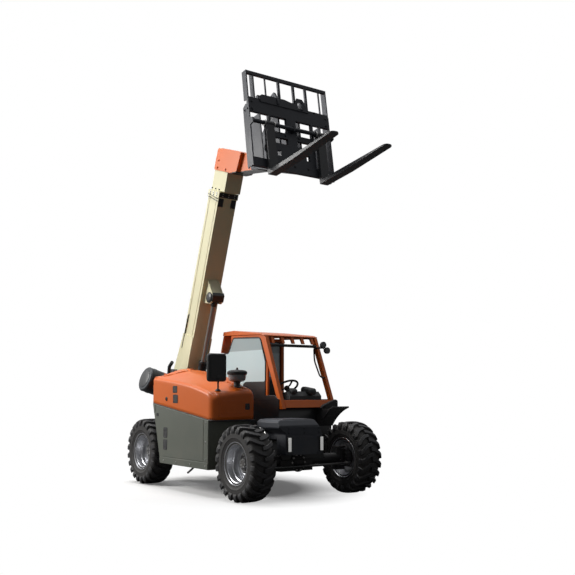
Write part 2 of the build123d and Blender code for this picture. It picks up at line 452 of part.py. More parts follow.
# A fork hangs on the shaft by an eye at its shank's top.
blade_top = -FORK_DROP + FORK_THICK
fork_outline = [(FACE - FORK_THICK, -FORK_DROP), (FACE + 420, -FORK_DROP), (FACE + FORK_LENGTH, blade_top - 14),
                (FACE + FORK_LENGTH, blade_top), (FACE, blade_top), (FACE, SHAFT_UP), (FACE - FORK_THICK, SHAFT_UP)]
TIP_R = 50.0                             # rounding of a fork's tip, seen from above
for hand, right in (("right", 354), ("left", -404)):
    span = (right - FORK_WIDE / 2, right + FORK_WIDE / 2)
    top_plane = Plane(origin=CARRIAGE.from_local_coords(Vector(0, -600, right)), x_dir=fork_along, z_dir=CARRIAGE.y_dir)
    from_above = Pos(FACE + FORK_LENGTH / 2 - 100, 0) * RectangleRounded(FORK_LENGTH + 200, FORK_WIDE, TIP_R)
    whole = plate_on(CARRIAGE, fork_outline, span) & extrude(top_plane * from_above, 900, dir=CARRIAGE.y_dir)
    whole = whole + disc_on(CARRIAGE, (shaft_ahead, SHAFT_UP), span, SHAFT_R + 8)
    add(f"fork_{hand}", whole - disc_on(CARRIAGE, (shaft_ahead, SHAFT_UP), span, SHAFT_R + RUN))

# Export -----------------------------------------------------------------------------------------------
os.makedirs("parts", exist_ok=True)
for name, shape in shapes.items():
    shapes[name] = Pos(ORIGIN_SHIFT, 0, 0) * shape
    export_step(shapes[name], os.path.join("parts", f"{name}.step"))
corners = [shape.bounding_box() for shape in shapes.values()]
low = [min(getattr(box.min, axis) for box in corners) for axis in "XYZ"]
high = [max(getattr(box.max, axis) for box in corners) for axis in "XYZ"]
print(len(shapes), "pieces from", low, "to", high)
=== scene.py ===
"""The looks of a compact telehandler, built as Blender meshes and node materials around its CAD frame.

Sizes are in metres, and in millimetres inside mm(), about the ground point below the front axle
unless a value says otherwise. `spot` and `piece` move them into the frame that the CAD pieces share.
"""
import json
from math import cos, pi, radians, sin, tau

import bmesh
import bpy
import numpy as np
from mathutils import Matrix, Vector


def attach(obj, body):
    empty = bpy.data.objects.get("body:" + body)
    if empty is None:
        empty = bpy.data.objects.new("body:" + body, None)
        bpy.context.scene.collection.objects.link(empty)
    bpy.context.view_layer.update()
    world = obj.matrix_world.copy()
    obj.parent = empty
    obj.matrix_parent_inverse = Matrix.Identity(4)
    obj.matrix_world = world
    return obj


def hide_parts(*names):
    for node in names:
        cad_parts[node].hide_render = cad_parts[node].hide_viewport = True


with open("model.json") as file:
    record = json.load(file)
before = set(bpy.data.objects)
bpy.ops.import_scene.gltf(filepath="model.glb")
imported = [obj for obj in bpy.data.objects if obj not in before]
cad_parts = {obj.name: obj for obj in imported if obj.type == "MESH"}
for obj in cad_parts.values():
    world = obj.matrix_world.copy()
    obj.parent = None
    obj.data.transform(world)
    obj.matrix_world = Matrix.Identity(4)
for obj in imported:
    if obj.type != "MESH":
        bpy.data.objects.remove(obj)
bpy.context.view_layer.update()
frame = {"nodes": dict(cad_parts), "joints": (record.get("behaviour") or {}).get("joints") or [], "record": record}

bl_info = {
    "name": "Telehandler Looks",
    "version": (1, 0, 0),
    "blender": (4, 5, 0),
    "location": "3D View > Sidebar > Telehandler",
    "description": "Builds tyres, panels, fittings and finishes round the telehandler's frame",
    "category": "Object",
}

JOINTS = {joint["name"]: joint for joint in frame["joints"]}
FRONT = JOINTS["front_right_spin"]["pos_m"][0]      # front axle ahead of the frame's origin
BOOM_Y = JOINTS["boom_lift"]["pos_m"][1]
OUTWARD = {"right": -1.0, "left": 1.0}
SIDES = (-1, 1)


def mm(points):
    """The points of a text such as "0,12.5 30,8", given in millimetres, as tuples in metres."""
    return [tuple(float(number) / 1000 for number in point.split(",")) for point in points.split()]


def spot(x, y, z):
    """A point given about the front axle, in the frame's coordinates."""
    return np.array([FRONT + x, y, z], float)


# Shapes: each is (points, quads) ---------------------------------------------------------


def grid(points, wrap_rows=False, wrap_columns=False):
    """Quads over rows and columns of points, joined round where they wrap."""
    points = np.asarray(points, float)
    rows, columns = points.shape[:2]
    index = np.arange(rows * columns).reshape(rows, columns)
    if wrap_rows:
        index = np.vstack([index, index[:1]])
    if wrap_columns:
        index = np.hstack([index, index[:, :1]])
    quads = np.stack([index[:-1, :-1], index[1:, :-1], index[1:, 1:], index[:-1, 1:]], axis=-1)
    return points.reshape(-1, 3), quads.reshape(-1, 4)


def joined(*shapes):
    """Several shapes as one, side by side in the same arrays."""
    starts = np.cumsum([0] + [len(points) for points, _ in shapes[:-1]])
    return (np.concatenate([points for points, _ in shapes]),
            np.concatenate([quads + start for (_, quads), start in zip(shapes, starts)]))


def moved(shape, matrix):
    """A shape through a 4x4 matrix."""
    matrix = np.asarray(matrix, float)
    return shape[0] @ matrix[:3, :3].T + matrix[:3, 3], shape[1]


def repeated(shape, matrices):
    """One copy of a shape for each 4x4 matrix, worked out as one array."""
    matrices = np.asarray(matrices, float)
    points, quads = shape
    copies = np.einsum("kij,nj->kni", matrices[:, :3, :3], points) + matrices[:, None, :3, 3]
    steps = np.arange(len(matrices))[:, None, None] * len(points)
    return copies.reshape(-1, 3), (quads[None] + steps).reshape(-1, 4)


def spun(angle, axis="Z"):
    """The matrix of a turn about a local axis."""
    return np.array(Matrix.Rotation(angle, 4, axis))


def at(place, axis=(0, 0, 1), turn=0.0, size=1.0):
    """The matrix that takes local Z to an axis, turns about it, scales, and goes to a place."""
    rotation = Vector(axis).to_track_quat("Z", "Y").to_matrix().to_4x4()
    moves = Matrix.Translation(Vector(place)) @ rotation @ Matrix.Rotation(turn, 4, "Z")
    return np.array(moves @ Matrix.Scale(size, 4))


def ring_of(place, axis, radius, count, start=0.0):
    """Matrices spaced evenly round a circle, each facing along the circle's axis."""
    base, out = at(place, axis), Matrix.Translation((radius, 0, 0))
    turns = start + np.arange(count) * tau / count
    return [base @ np.array(Matrix.Rotation(turn, 4, "Z") @ out) for turn in turns]


def rounded(corners, radius, steps=4):
    """An open or closed run of corners with an arc-like curve, a quadratic one, at each inner corner."""
    corners = np.asarray(corners, float)
    radius = np.broadcast_to(radius, len(corners))
    t = np.linspace(0, 1, steps)[:, None]
    run = [corners[:1]]
    for before, corner, after, size in zip(corners[:-2], corners[1:-1], corners[2:], radius[1:-1]):
        to_before, to_after = before - corner, after - corner
        reach = min(size, 0.45 * np.linalg.norm(to_before), 0.45 * np.linalg.norm(to_after))
        start = corner + to_before / max(np.linalg.norm(to_before), 1e-9) * reach
        end = corner + to_after / max(np.linalg.norm(to_after), 1e-9) * reach
        run.append((1 - t) ** 2 * start + 2 * t * (1 - t) * corner + t**2 * end)
    return np.concatenate(run + [corners[-1:]])


def looped(corners, radius, steps=4):
    """A closed outline with every corner rounded."""
    corners = np.asarray(corners, float)
    middle = (corners[:1] + corners[-1:]) / 2
    return rounded(np.concatenate([middle, corners, middle]), radius, steps)[:-1]


def turned(profile, segments=96, closed=False):
    """A profile of (radius, height) turned once round local Z: (r cos a, r sin a, height)."""
    radius, height = np.asarray(profile, float).T[:, :, None]
    angles = np.linspace(0, tau, segments, endpoint=False)
    height = np.broadcast_to(height, (len(height), segments))
    points = np.stack([radius * np.cos(angles), radius * np.sin(angles), height], axis=-1)
    return grid(points, wrap_rows=closed, wrap_columns=True)


def prism(outline, low, high, edge=0.0):
    """A closed outline raised from low to high along Z, its caps drawn to its middle, its edges eased
    by an inset along the outline's own normals."""
    outline = np.asarray(outline, float)
    middle = outline.mean(axis=0)
    ahead = np.roll(outline, -1, axis=0) - np.roll(outline, 1, axis=0)
    length = np.maximum(np.linalg.norm(ahead, axis=1), 1e-12)[:, None]
    inward = np.column_stack([-ahead[:, 1], ahead[:, 0]]) / length
    following = np.roll(outline, -1, axis=0)
    area = (outline[:, 0] * following[:, 1] - following[:, 0] * outline[:, 1]).sum()
    inner = outline + inward * edge * np.sign(area)
    cap = middle[None].repeat(len(outline), 0)
    layers = [(cap, low), (inner, low), (outline, low + edge), (outline, high - edge), (inner, high),
              (cap, high)]
    rings = [np.column_stack([flat, np.full(len(flat), height)]) for flat, height in layers]
    return grid(rings, wrap_columns=True)


def pebble(size, edge, steps=5):
    """A box of a size whose edges are rounded: a sphere's points pushed out to the box's core."""
    half = np.asarray(size, float) / 2
    edge = min(edge, half.min())
    quarter = np.linspace(0, pi / 2, steps)
    up = np.concatenate([quarter - pi / 2, quarter])
    around = np.concatenate([quarter + k * pi / 2 for k in range(4)])
    shape = (len(up), len(around))
    direction = np.stack([np.cos(up)[:, None] * np.cos(around), np.cos(up)[:, None] * np.sin(around),
                          np.broadcast_to(np.sin(up)[:, None], shape)], axis=-1)
    k = np.repeat(np.arange(4), steps)
    sides = (np.where((k == 0) | (k == 3), 1, -1), np.where(k < 2, 1, -1), np.repeat([-1, 1], steps)[:, None])
    core = np.stack([np.broadcast_to(side, shape) for side in sides], axis=-1) * (half - edge)
    flat = np.zeros((1, len(around), 3))
    top = np.array([0, 0, half[2]])
    return grid(np.concatenate([flat - top, core + direction * edge, flat + top]), wrap_columns=True)


def block(low, high, edge=0.004, steps=3):
    """A rounded box between two opposite corners."""
    low, high = np.asarray(low, float), np.asarray(high, float)
    points, quads = pebble(np.abs(high - low), edge, steps)
    return points + (low + high) / 2, quads


def swept(path, section, closed=False):
    """A section of (across, up) offsets carried along a path, square to it at every point."""
    path = np.asarray(path, float)
    section = np.asarray(section, float)
    ahead = np.roll(path, -1, axis=0) - np.roll(path, 1, axis=0)
    if not closed:
        ahead[0], ahead[-1] = path[1] - path[0], path[-1] - path[-2]
    ahead /= np.linalg.norm(ahead, axis=1)[:, None]
    flat = np.ptp(path, axis=0).argmin() if not closed or len(path) > 2 else 2
    guide = np.eye(3)[flat]
    across = np.cross(ahead, guide)
    weak = np.linalg.norm(across, axis=1) < 1e-3
    across[weak] = np.cross(ahead[weak], np.eye(3)[(flat + 1) % 3])
    across /= np.linalg.norm(across, axis=1)[:, None]
    up = np.cross(across, ahead)
    points = path[:, None] + across[:, None] * section[:, :1] + up[:, None] * section[:, 1:]
    if not closed:
        caps = [np.broadcast_to(path[k], (1, len(section), 3)) for k in (0, -1)]
        points = np.concatenate([caps[0], points, caps[1]])
    return grid(points, wrap_rows=closed, wrap_columns=True)


def circle(radius, steps=16):
    """A round section."""
    angles = np.linspace(0, tau, steps, endpoint=False)
    return np.column_stack([radius * np.cos(angles), radius * np.sin(angles)])


def pipe(corners, radius, bend=0.03):
    """A round bar or pipe along corners, bent at each."""
    return swept(rounded(corners, bend, 6), circle(radius, 14))


def hexagon(width):
    """A hexagon of a width across its flats."""
    return circle(width / 2 / cos(pi / 6), 6)


def bolt(width, head):
    """A hexagon head on a washer, standing on local Z = 0."""
    washer = prism(circle(width * 0.78, 20), -0.001, 0.003, 0.0006)
    return joined(prism(hexagon(width), 0.0, head, 0.0015), washer)


# Pieces ---------------------------------------------------------------------------------


def piece(name, shape, body, finish, crease=30, replaces=(), weld=1e-5):
    """A finished mesh from a shape: welded, facing outwards, smooth up to a crease angle, riding a body."""
    mesh = bpy.data.meshes.new(name)
    points, quads = shape
    mesh.from_pydata((points + (FRONT, 0, 0)).tolist(), [], quads.tolist())
    work = bmesh.new()
    work.from_mesh(mesh)
    bmesh.ops.remove_doubles(work, verts=work.verts, dist=weld)
    bmesh.ops.dissolve_degenerate(work, dist=1e-6, edges=work.edges)
    bmesh.ops.recalc_face_normals(work, faces=work.faces)
    work.to_mesh(mesh)
    work.free()
    return dressed(bpy.data.objects.new(name, mesh), body, finish, crease, replaces)


def dressed(obj, body, finish, crease, replaces=(), bevel=0.0):
    """Links an object, shades it, gives it its finish and puts it on its body."""
    bpy.context.scene.collection.objects.link(obj)
    obj.data.materials.clear()
    obj.data.materials.append(finish_of(finish))
    obj.data.polygons.foreach_set("use_smooth", np.ones(len(obj.data.polygons), bool))
    obj.data.set_sharp_from_angle(angle=radians(crease))
    if bevel:
        rounding = obj.modifiers.new("Rounding", "BEVEL")
        rounding.width, rounding.segments, rounding.limit_method = bevel, 2, "ANGLE"
        rounding.angle_limit, rounding.harden_normals = radians(35), True
    if body:
        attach(obj, body)
    if replaces:
        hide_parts(*replaces)
    return obj


BODY_OF = {node: body for body, nodes in frame["record"]["behaviour"]["bodies"].items() for node in nodes}


def eased(node, finish, bevel, joins=True):
    """A merged copy of a CAD piece with its edges rounded, standing for that piece. Flat neighbours
    are joined into one face, but not on a grille, whose faces have holes."""
    mesh = frame["nodes"][node].data.copy()
    mesh.name = f"{node}_eased"
    work = bmesh.new()
    work.from_mesh(mesh)
    bmesh.ops.remove_doubles(work, verts=work.verts, dist=2e-5)
    if joins:
        bmesh.ops.dissolve_limit(work, angle_limit=radians(0.6), verts=work.verts, edges=work.edges)
    work.to_mesh(mesh)
    work.free()
    return dressed(bpy.data.objects.new(f"{node}_eased", mesh), BODY_OF[node], finish, 30, (node,), bevel)


# Finishes -------------------------------------------------------------------------------


class Wire:
    """A value in a shader, on which arithmetic adds Math nodes."""

    def __init__(self, shader, node, output=0):
        self.shader, self.node = shader, node
        self.socket = node.outputs[output] if len(node.outputs) else None

    def out(self, name):
        """Another output of the same node."""
        return Wire(self.shader, self.node, name)

    def _math(self, operation, *values):
        """A Math node of an operation on numbers or wires."""
        return self.shader.add("ShaderNodeMath", {"operation": operation}, dict(enumerate(values)))

    def __add__(self, other):
        return self._math("ADD", self, other)

    __radd__ = __add__

    def __sub__(self, other):
        return self._math("SUBTRACT", self, other)

    def __rsub__(self, other):
        return self._math("SUBTRACT", other, self)

    def __mul__(self, other):
        return self._math("MULTIPLY", self, other)

    __rmul__ = __mul__

    def __truediv__(self, other):
        return self._math("DIVIDE", self, other)

    def __gt__(self, other):
        return self._math("GREATER_THAN", self, other)

    def held(self):
        """The value kept between 0 and 1."""
        return self._math("MINIMUM", self._math("MAXIMUM", self, 0.0), 1.0)


class Shader:
    """The node tree of a new material, or of the world, and the one way in which nodes are added to it."""

    def __init__(self, name, world=None):
        self.owner = world or bpy.data.materials.new(name)
        self.owner.use_nodes = True
        self.tree = self.owner.node_tree
        self.tree.nodes.clear()
        self.place = self.add("ShaderNodeTexCoord").out("Object")

    def add(self, kind, settings=None, sockets=None, output=0):
        """A node of a type with its settings made first, then the values or links of its sockets."""
        node = self.tree.nodes.new(kind)
        for name, value in (settings or {}).items():
            setattr(node, name, value)
        for name, value in (sockets or {}).items():
            socket = node.inputs[name]
            if isinstance(value, Wire):
                self.tree.links.new(value.socket, socket)
            else:
                socket.default_value = value
        return Wire(self, node, output)

    def noise(self, scale, detail=2.0, roughness=0.5, stretch=None):
        """Noise over the object's own coordinates, from 0 to 1."""
        place = self.place
        if stretch:
            place = self.add("ShaderNodeMapping", None, {"Vector": place, "Scale": stretch})
        sockets = {"Vector": place, "Scale": scale, "Detail": detail, "Roughness": roughness}
        return self.add("ShaderNodeTexNoise", None, sockets)

    def height(self):
        """Height above the ground in metres, for a piece at rest."""
        return self.add("ShaderNodeSeparateXYZ", None, {0: self.place}).out("Z")

    def between(self, mask, first, second):
        """A colour that goes from the first to the second as the mask goes from 0 to 1."""
        first = first if isinstance(first, Wire) else (*first, 1.0)
        second = second if isinstance(second, Wire) else (*second, 1.0)
        return self.add("ShaderNodeMix", {"data_type": "RGBA"}, {0: mask, 6: first, 7: second}, output=2)

    def bump(self, height, depth):
        """A normal tilted by a height value that stands for a depth in metres."""
        return self.add("ShaderNodeBump", None, {"Height": height, "Distance": depth})

    def surface(self, sockets):
        """Ends a material's tree with one Principled shader."""
        return self.finish(self.add("ShaderNodeBsdfPrincipled", None, sockets))

    def finish(self, shader):
        """Ends a material's tree with a shader."""
        self.add("ShaderNodeOutputMaterial", None, {"Surface": shader})
        return self.owner


def shade(colour, factor):
    """A colour made lighter or darker by a factor."""
    return tuple(min(1.0, channel * factor) for channel in colour)


DUST = (0.24, 0.215, 0.18)
BAND_Z = 1.714                                           # where the shaded band at the top of a pane begins


def paint(name, colour, coat, dust, roughness=0.34, peel=0.00012, worn=None):
    """Sprayed machine paint: faint mottling, orange peel, dust near the ground and in patches."""
    shader = Shader(name)
    mottle = shader.noise(1.7, 3.0)
    grime = shader.noise(6.0, 6.0, 0.65)
    low = ((0.95 - shader.height()) * 1.1).held()
    dusty = ((grime - 0.42) * 2.6 * (0.10 + low)).held() * dust
    base = shader.between(mottle, shade(colour, 0.90), shade(colour, 1.08))
    if worn:
        chips = (shader.noise(55.0, 4.0, 0.7) - 0.66) * 14.0
        base = shader.between((chips * (grime > 0.5)).held(), base, worn)
    base = shader.between(dusty, base, DUST)
    fine = shader.noise(420.0, 1.0)
    return shader.surface({
        "Base Color": base,
        "Roughness": (roughness + 0.14 * grime + 0.35 * dusty).held(),
        "Coat Weight": (coat * (1.0 - dusty)).held(),
        "Coat Roughness": 0.12,
        "Normal": shader.bump(fine, peel),
    })


def moulded(name, colour, roughness=0.55, grain=0.0004, scale=900.0):
    """Moulded plastic or rubber with a fine leather-like grain and dust near the ground."""
    shader = Shader(name)
    grime = shader.noise(7.0, 6.0, 0.65)
    low = (1.0 - shader.height()).held()
    dusty = ((grime - 0.42) * 2.4 * (0.15 + low)).held() * 0.4
    cells = shader.add("ShaderNodeTexVoronoi", {"feature": "F1"}, {"Vector": shader.place, "Scale": scale})
    base = shader.between(shader.noise(2.5, 3.0), shade(colour, 0.85), shade(colour, 1.15))
    return shader.surface({
        "Base Color": shader.between(dusty, base, DUST),
        "Roughness": (roughness + 0.12 * grime + 0.25 * dusty).held(),
        "Normal": shader.bump(cells, grain),
    })


def metal(name, colour, roughness, stained, metallic=1.0, grain=0.0002, brushed=None,
          stain=(0.05, 0.04, 0.035)):
    """Bare or plated metal, brushed one way or cast, with a thin stain in patches."""
    shader = Shader(name)
    marks = shader.noise(90.0, 3.0, 0.6, stretch=brushed) if brushed else shader.noise(160.0, 4.0, 0.6)
    patches = ((shader.noise(5.0, 6.0, 0.7) - 0.5) * 3.0).held() * stained
    return shader.surface({
        "Base Color": shader.between(patches, colour, stain),
        "Metallic": (metallic - 0.5 * patches).held(),
        "Roughness": (roughness + 0.10 * marks + 0.3 * patches).held(),
        "Normal": shader.bump(marks, grain),
    })


def silvered(name, colour):
    """A mirror's silvered glass with a breath of dust."""
    shader = Shader(name)
    dusty = ((shader.noise(18.0, 5.0, 0.7) - 0.5) * 1.6).held()
    return shader.surface({"Base Color": shader.between(dusty, colour, DUST), "Metallic": 1.0,
                           "Roughness": (0.02 + 0.25 * dusty).held()})


def tyre_rubber(name, colour):
    """Black rubber, greyer on the lugs' faces, partly as wear and partly as a painted highlight of their lit
    edges, and dusty in the grooves, by the mesh's own depth value.
    """
    shader = Shader(name)
    depth = shader.add("ShaderNodeAttribute", {"attribute_name": "tread"}, None, "Fac")
    grime = shader.noise(14.0, 6.0, 0.7)
    dusty = ((1.0 - depth) * (0.25 + grime) * 0.8).held() * 0.32
    # Partly painted highlight: the lug faces are made greyer to stand for the light on the lugs' edges, as well as
    # for wear.
    worn = (depth * (shader.noise(30.0, 4.0) - 0.30) * 1.5).held()
    base = shader.between(worn, colour, shade(colour, 3.0))
    return shader.surface({
        "Base Color": shader.between(dusty, base, (0.11, 0.10, 0.088)),
        "Roughness": (0.46 + 0.2 * grime + 0.5 * dusty).held(),
        "Normal": shader.bump(shader.noise(260.0, 3.0), 0.0006),
    })


def window_pane(name, colour):
    """A tinted cab pane with a milky sheen and a darker band along its top."""
    shader = Shader(name)
    band = ((shader.height() - BAND_Z) * 160.0).held()
    tint = shader.between(band, colour, shade(colour, 0.62))
    haze = shader.noise(3.0, 3.0)
    see = shader.add("ShaderNodeBsdfTransparent", None, {0: (0.84, 0.96, 1.0, 1.0)})
    coat = shader.add("ShaderNodeBsdfPrincipled", None, {
        "Base Color": tint, "Roughness": 0.08, "IOR": 1.5, "Normal": shader.bump(haze, 0.0004)})
    mixed = shader.add("ShaderNodeMixShader", None, {0: (0.84 + 0.08 * haze).held(), 1: see, 2: coat})
    return shader.finish(mixed)


def lens(name, colour):
    """A moulded lamp lens: clear glossy ridges over a bright reflector, made brighter by a faint painted glow."""
    shader = Shader(name)
    along = {"Vector": shader.place, "Scale": 60.0}
    ridges = shader.add("ShaderNodeTexWave", {"bands_direction": "Y"}, along)
    cast = shader.between(ridges, shade(colour, 0.82), colour)
    # Painted light: every lens glows faintly though no lamp is lit, and so do the dial needles that share the red
    # lens.
    return shader.surface({"Base Color": cast, "Roughness": 0.12, "Coat Weight": 0.8, "Emission Color": cast,
                           "Emission Strength": 0.35, "Normal": shader.bump(ridges, 0.0008)})


def leather(name, colour):
    """Seat vinyl: creased grain, a soft sheen and a slight wear in patches."""
    shader = Shader(name)
    grain = {"Vector": shader.place, "Scale": 260.0}
    cells = shader.add("ShaderNodeTexVoronoi", {"feature": "DISTANCE_TO_EDGE"}, grain)
    wear = shader.noise(5.0, 4.0)
    return shader.surface({"Base Color": shader.between(wear, shade(colour, 0.8), shade(colour, 1.5)),
                           "Roughness": (0.42 + 0.2 * wear).held(), "Sheen Weight": 0.15,
                           "Normal": shader.bump((cells * 6.0).held(), 0.0006)})


def floor_finish(name, colour):
    """A pale floor: to the camera it is white where it is lit and away from the object, and it keeps the
    shadows that fall on it; to the object it is darker, so that little light comes up from below."""
    shader = Shader(name)
    path = shader.add("ShaderNodeLightPath")
    direct = (path.out("Is Camera Ray") + path.out("Is Transmission Ray")).held()
    spread = shader.add("ShaderNodeMapping", None, {"Vector": shader.place, "Location": (0.56, 0.17, 0.0),
                                                    "Scale": (0.60, 0.85, 1.0)})
    away = shader.add("ShaderNodeVectorMath", {"operation": "LENGTH"}, {0: spread}, "Value")
    far = (away - 0.85) / 0.60
    pale = shader.add("ShaderNodeBsdfDiffuse", None, {"Color": (0.95, 0.95, 0.95, 1.0)})
    glow = shader.add("ShaderNodeEmission", None, {"Color": (1, 1, 1, 1), "Strength": 1.0})
    shown = shader.add("ShaderNodeMixShader", None, {0: 0.12 + 0.88 * far.held(), 1: pale, 2: glow})
    plain = shader.add("ShaderNodeBsdfDiffuse", None, {"Color": (*colour, 1.0)})
    return shader.finish(shader.add("ShaderNodeMixShader", None, {0: direct, 1: plain, 2: shown}))


# Each finish: its label, its colour in linear light, its painter, the slot that it shares, if any, and
# the painter's settings.
FINISHES = {
    "orange_paint": ("Hood and cab paint", (0.74, 0.138, 0.006), paint, None, {"coat": 0.18, "dust": 0.22}),
    "cream_paint": ("Boom paint", (0.76, 0.72, 0.47), paint, None,
                    {"roughness": 0.40, "coat": 0.25, "dust": 0.3}),
    "grey_paint": ("Side panel paint", (0.128, 0.140, 0.116), paint, None,
                   {"roughness": 0.42, "coat": 0.2, "dust": 0.45}),
    "black_paint": ("Chassis paint", (0.014, 0.016, 0.019), paint, None,
                    {"roughness": 0.38, "coat": 0.3, "dust": 0.2}),
    "charcoal_paint": ("Carriage and nose paint", (0.030, 0.035, 0.048), paint, None,
                       {"roughness": 0.50, "coat": 0.06, "peel": 0.00005, "dust": 0.3,
                        "worn": (0.10, 0.10, 0.11)}),
    "fork_steel": ("Fork steel", (0.050, 0.053, 0.060), paint, "charcoal_paint",
                   {"roughness": 0.5, "coat": 0.10, "peel": 0.00002, "dust": 0.2,
                    "worn": (0.055, 0.058, 0.065)}),
    "silver_paint": ("Rim paint", (0.62, 0.63, 0.66), metal, None,
                     {"roughness": 0.26, "metallic": 0.75, "stained": 0.35, "stain": (0.12, 0.10, 0.085)}),
    "tyre_rubber": ("Tyre rubber", (0.016, 0.016, 0.018), tyre_rubber, None, {}),
    "clear_glass": ("Cab pane", (0.79, 0.97, 1.0), window_pane, None, {}),
    "black_plastic": ("Black plastic", (0.017, 0.018, 0.020), moulded, None, {}),
    "smoky_plastic": ("Smoky bowl", (0.22, 0.23, 0.24), moulded, "black_plastic",
                      {"roughness": 0.22, "grain": 0.0001}),
    "grey_plastic": ("Dashboard plastic", (0.050, 0.055, 0.058), moulded, None, {}),
    "dial_face": ("Dial faces", (0.45, 0.46, 0.47), moulded, "grey_plastic",
                  {"roughness": 0.3, "grain": 0.0001}),
    "hose_rubber": ("Pipe sleeve", (0.022, 0.022, 0.024), moulded, "black_plastic",
                    {"roughness": 0.5, "grain": 0.0003, "scale": 500.0}),
    "seat_vinyl": ("Seat vinyl", (0.022, 0.023, 0.026), leather, None, {}),
    "chrome_rod": ("Cylinder rod", (0.30, 0.29, 0.28), metal, None,
                   {"roughness": 0.30, "metallic": 0.7, "stained": 0.08, "grain": 0.00003,
                    "brushed": (1, 1, 14)}),
    "mirror_glass": ("Mirror glass", (0.86, 0.88, 0.90), silvered, "chrome_rod", {}),
    "zinc_plate": ("Bolts and fittings", (0.50, 0.50, 0.49), metal, "silver_paint",
                   {"roughness": 0.32, "stained": 0.25}),
    "cast_iron": ("Axle castings", (0.030, 0.030, 0.032), metal, None,
                  {"roughness": 0.55, "metallic": 0.35, "grain": 0.0010, "stained": 0.5,
                   "stain": (0.05, 0.035, 0.025)}),
    "hub_paint": ("Wheel hubs", (0.045, 0.046, 0.052), paint, "cast_iron",
                  {"roughness": 0.42, "coat": 0.2, "dust": 0.8}),
    "lamp_lens": ("Lamp lens", (0.88, 0.88, 0.86), lens, None, {}),
    "red_lens": ("Tail lamp lens", (0.50, 0.015, 0.012), lens, "lamp_lens", {}),
    "amber_lens": ("Turn lamp lens", (0.75, 0.22, 0.01), lens, "lamp_lens", {}),
    "dark_metal": ("Silencer metal", (0.040, 0.045, 0.052), metal, None,
                   {"roughness": 0.42, "metallic": 0.55, "grain": 0.0004, "stained": 0.45,
                    "stain": (0.07, 0.045, 0.03)}),
    "floor_grey": ("Floor", (0.16, 0.16, 0.16), floor_finish, None, {}),
}
made = {}


def finish_of(name):
    """The material for a finish, made once."""
    if name not in made:
        painter, _, settings = FINISHES[name][2:]
        made[name] = painter(name, tuple(getattr(bpy.context.scene.telehandler_colours, name)), **settings)
    return made[name]


# Settings -------------------------------------------------------------------------------


def colour_prop(label, default):
    """A property that holds a finish's colour."""
    return bpy.props.FloatVectorProperty(
        name=label, description=f"Colour of the {label.lower()}", subtype="COLOR", size=3, min=0.0, max=1.0,
        default=default)


class TelehandlerColours(bpy.types.PropertyGroup):
    """Colours of the finishes, as linear light."""

    __annotations__ = {name: colour_prop(label, colour) for name, (label, colour, *_) in FINISHES.items()}


def length_prop(label, default):
    """A property that holds a length in metres."""
    return bpy.props.FloatProperty(
        name=label, description=f"{label} in metres", default=default, min=0.0, subtype="DISTANCE",
        unit="LENGTH")


def count_prop(label, description, default, low, high):
    """A property that holds a number of like things."""
    return bpy.props.IntProperty(name=label, description=description, default=default, min=low, max=high)


def power_prop(label, description, default):
    """A property that holds a lamp's power."""
    return bpy.props.FloatProperty(name=label, description=description, default=default, subtype="POWER")


def angle_prop(label, description, degrees):
    """A property that holds an angle, whose default is given in degrees."""
    return bpy.props.FloatProperty(
        name=label, description=description, default=radians(degrees), subtype="ANGLE", unit="ROTATION")


class TelehandlerSizes(bpy.types.PropertyGroup):
    """Sizes of the pieces that the frame leaves open."""

    lug_count: count_prop("Lugs a side", "Tread lugs on each side of a tyre", 22, 6, 40)
    lug_width: length_prop("Lug width", 0.044)
    lug_depth: length_prop("Lug depth", 0.030)
    wheel_nuts: count_prop("Wheel nuts", "Nuts on each wheel", 8, 4, 12)
    hood_skin: length_prop("Hood thickness", 0.008)
    hood_corner: length_prop("Hood corner radius", 0.095)
    hood_crown: length_prop("Hood crown rise", 0.118)
    panel_gap: length_prop("Gap between panels", 0.006)
    rim_grip: length_prop("Steering wheel rim thickness", 0.026)


class TelehandlerStage(bpy.types.PropertyGroup):
    """The camera, the lamps and the floor."""

    camera_place: bpy.props.FloatVectorProperty(
        name="Camera", description="Camera about the front axle", size=3, subtype="TRANSLATION", unit="LENGTH",
        default=(7.611, -5.697, 1.210))
    heading: angle_prop("Heading", "Camera's turn from facing the machine's back", 35.94)
    rise: angle_prop("Rise", "Camera's tilt above level", 7.2)
    lens: bpy.props.FloatProperty(
        name="Lens", description="Focal length in millimetres", default=50.97, min=1.0,
        subtype="DISTANCE_CAMERA")
    side_light: power_prop("Side light", "Power of the lamp on the right", 620.0)
    top_light: power_prop("Top light", "Power of the overhead lamp", 480.0)
    room_light: bpy.props.FloatProperty(
        name="Room light", description="Strength of the even light", default=0.10)


# Pieces' shapes ---------------------------------------------------------------------------


def axes_at(origin, x_axis, y_axis):
    """The matrix of a plane from its origin and two of its directions."""
    z_axis = np.cross(x_axis, y_axis)
    matrix = np.eye(4)
    matrix[:3, :4] = np.column_stack([x_axis, y_axis, z_axis, origin])
    return matrix


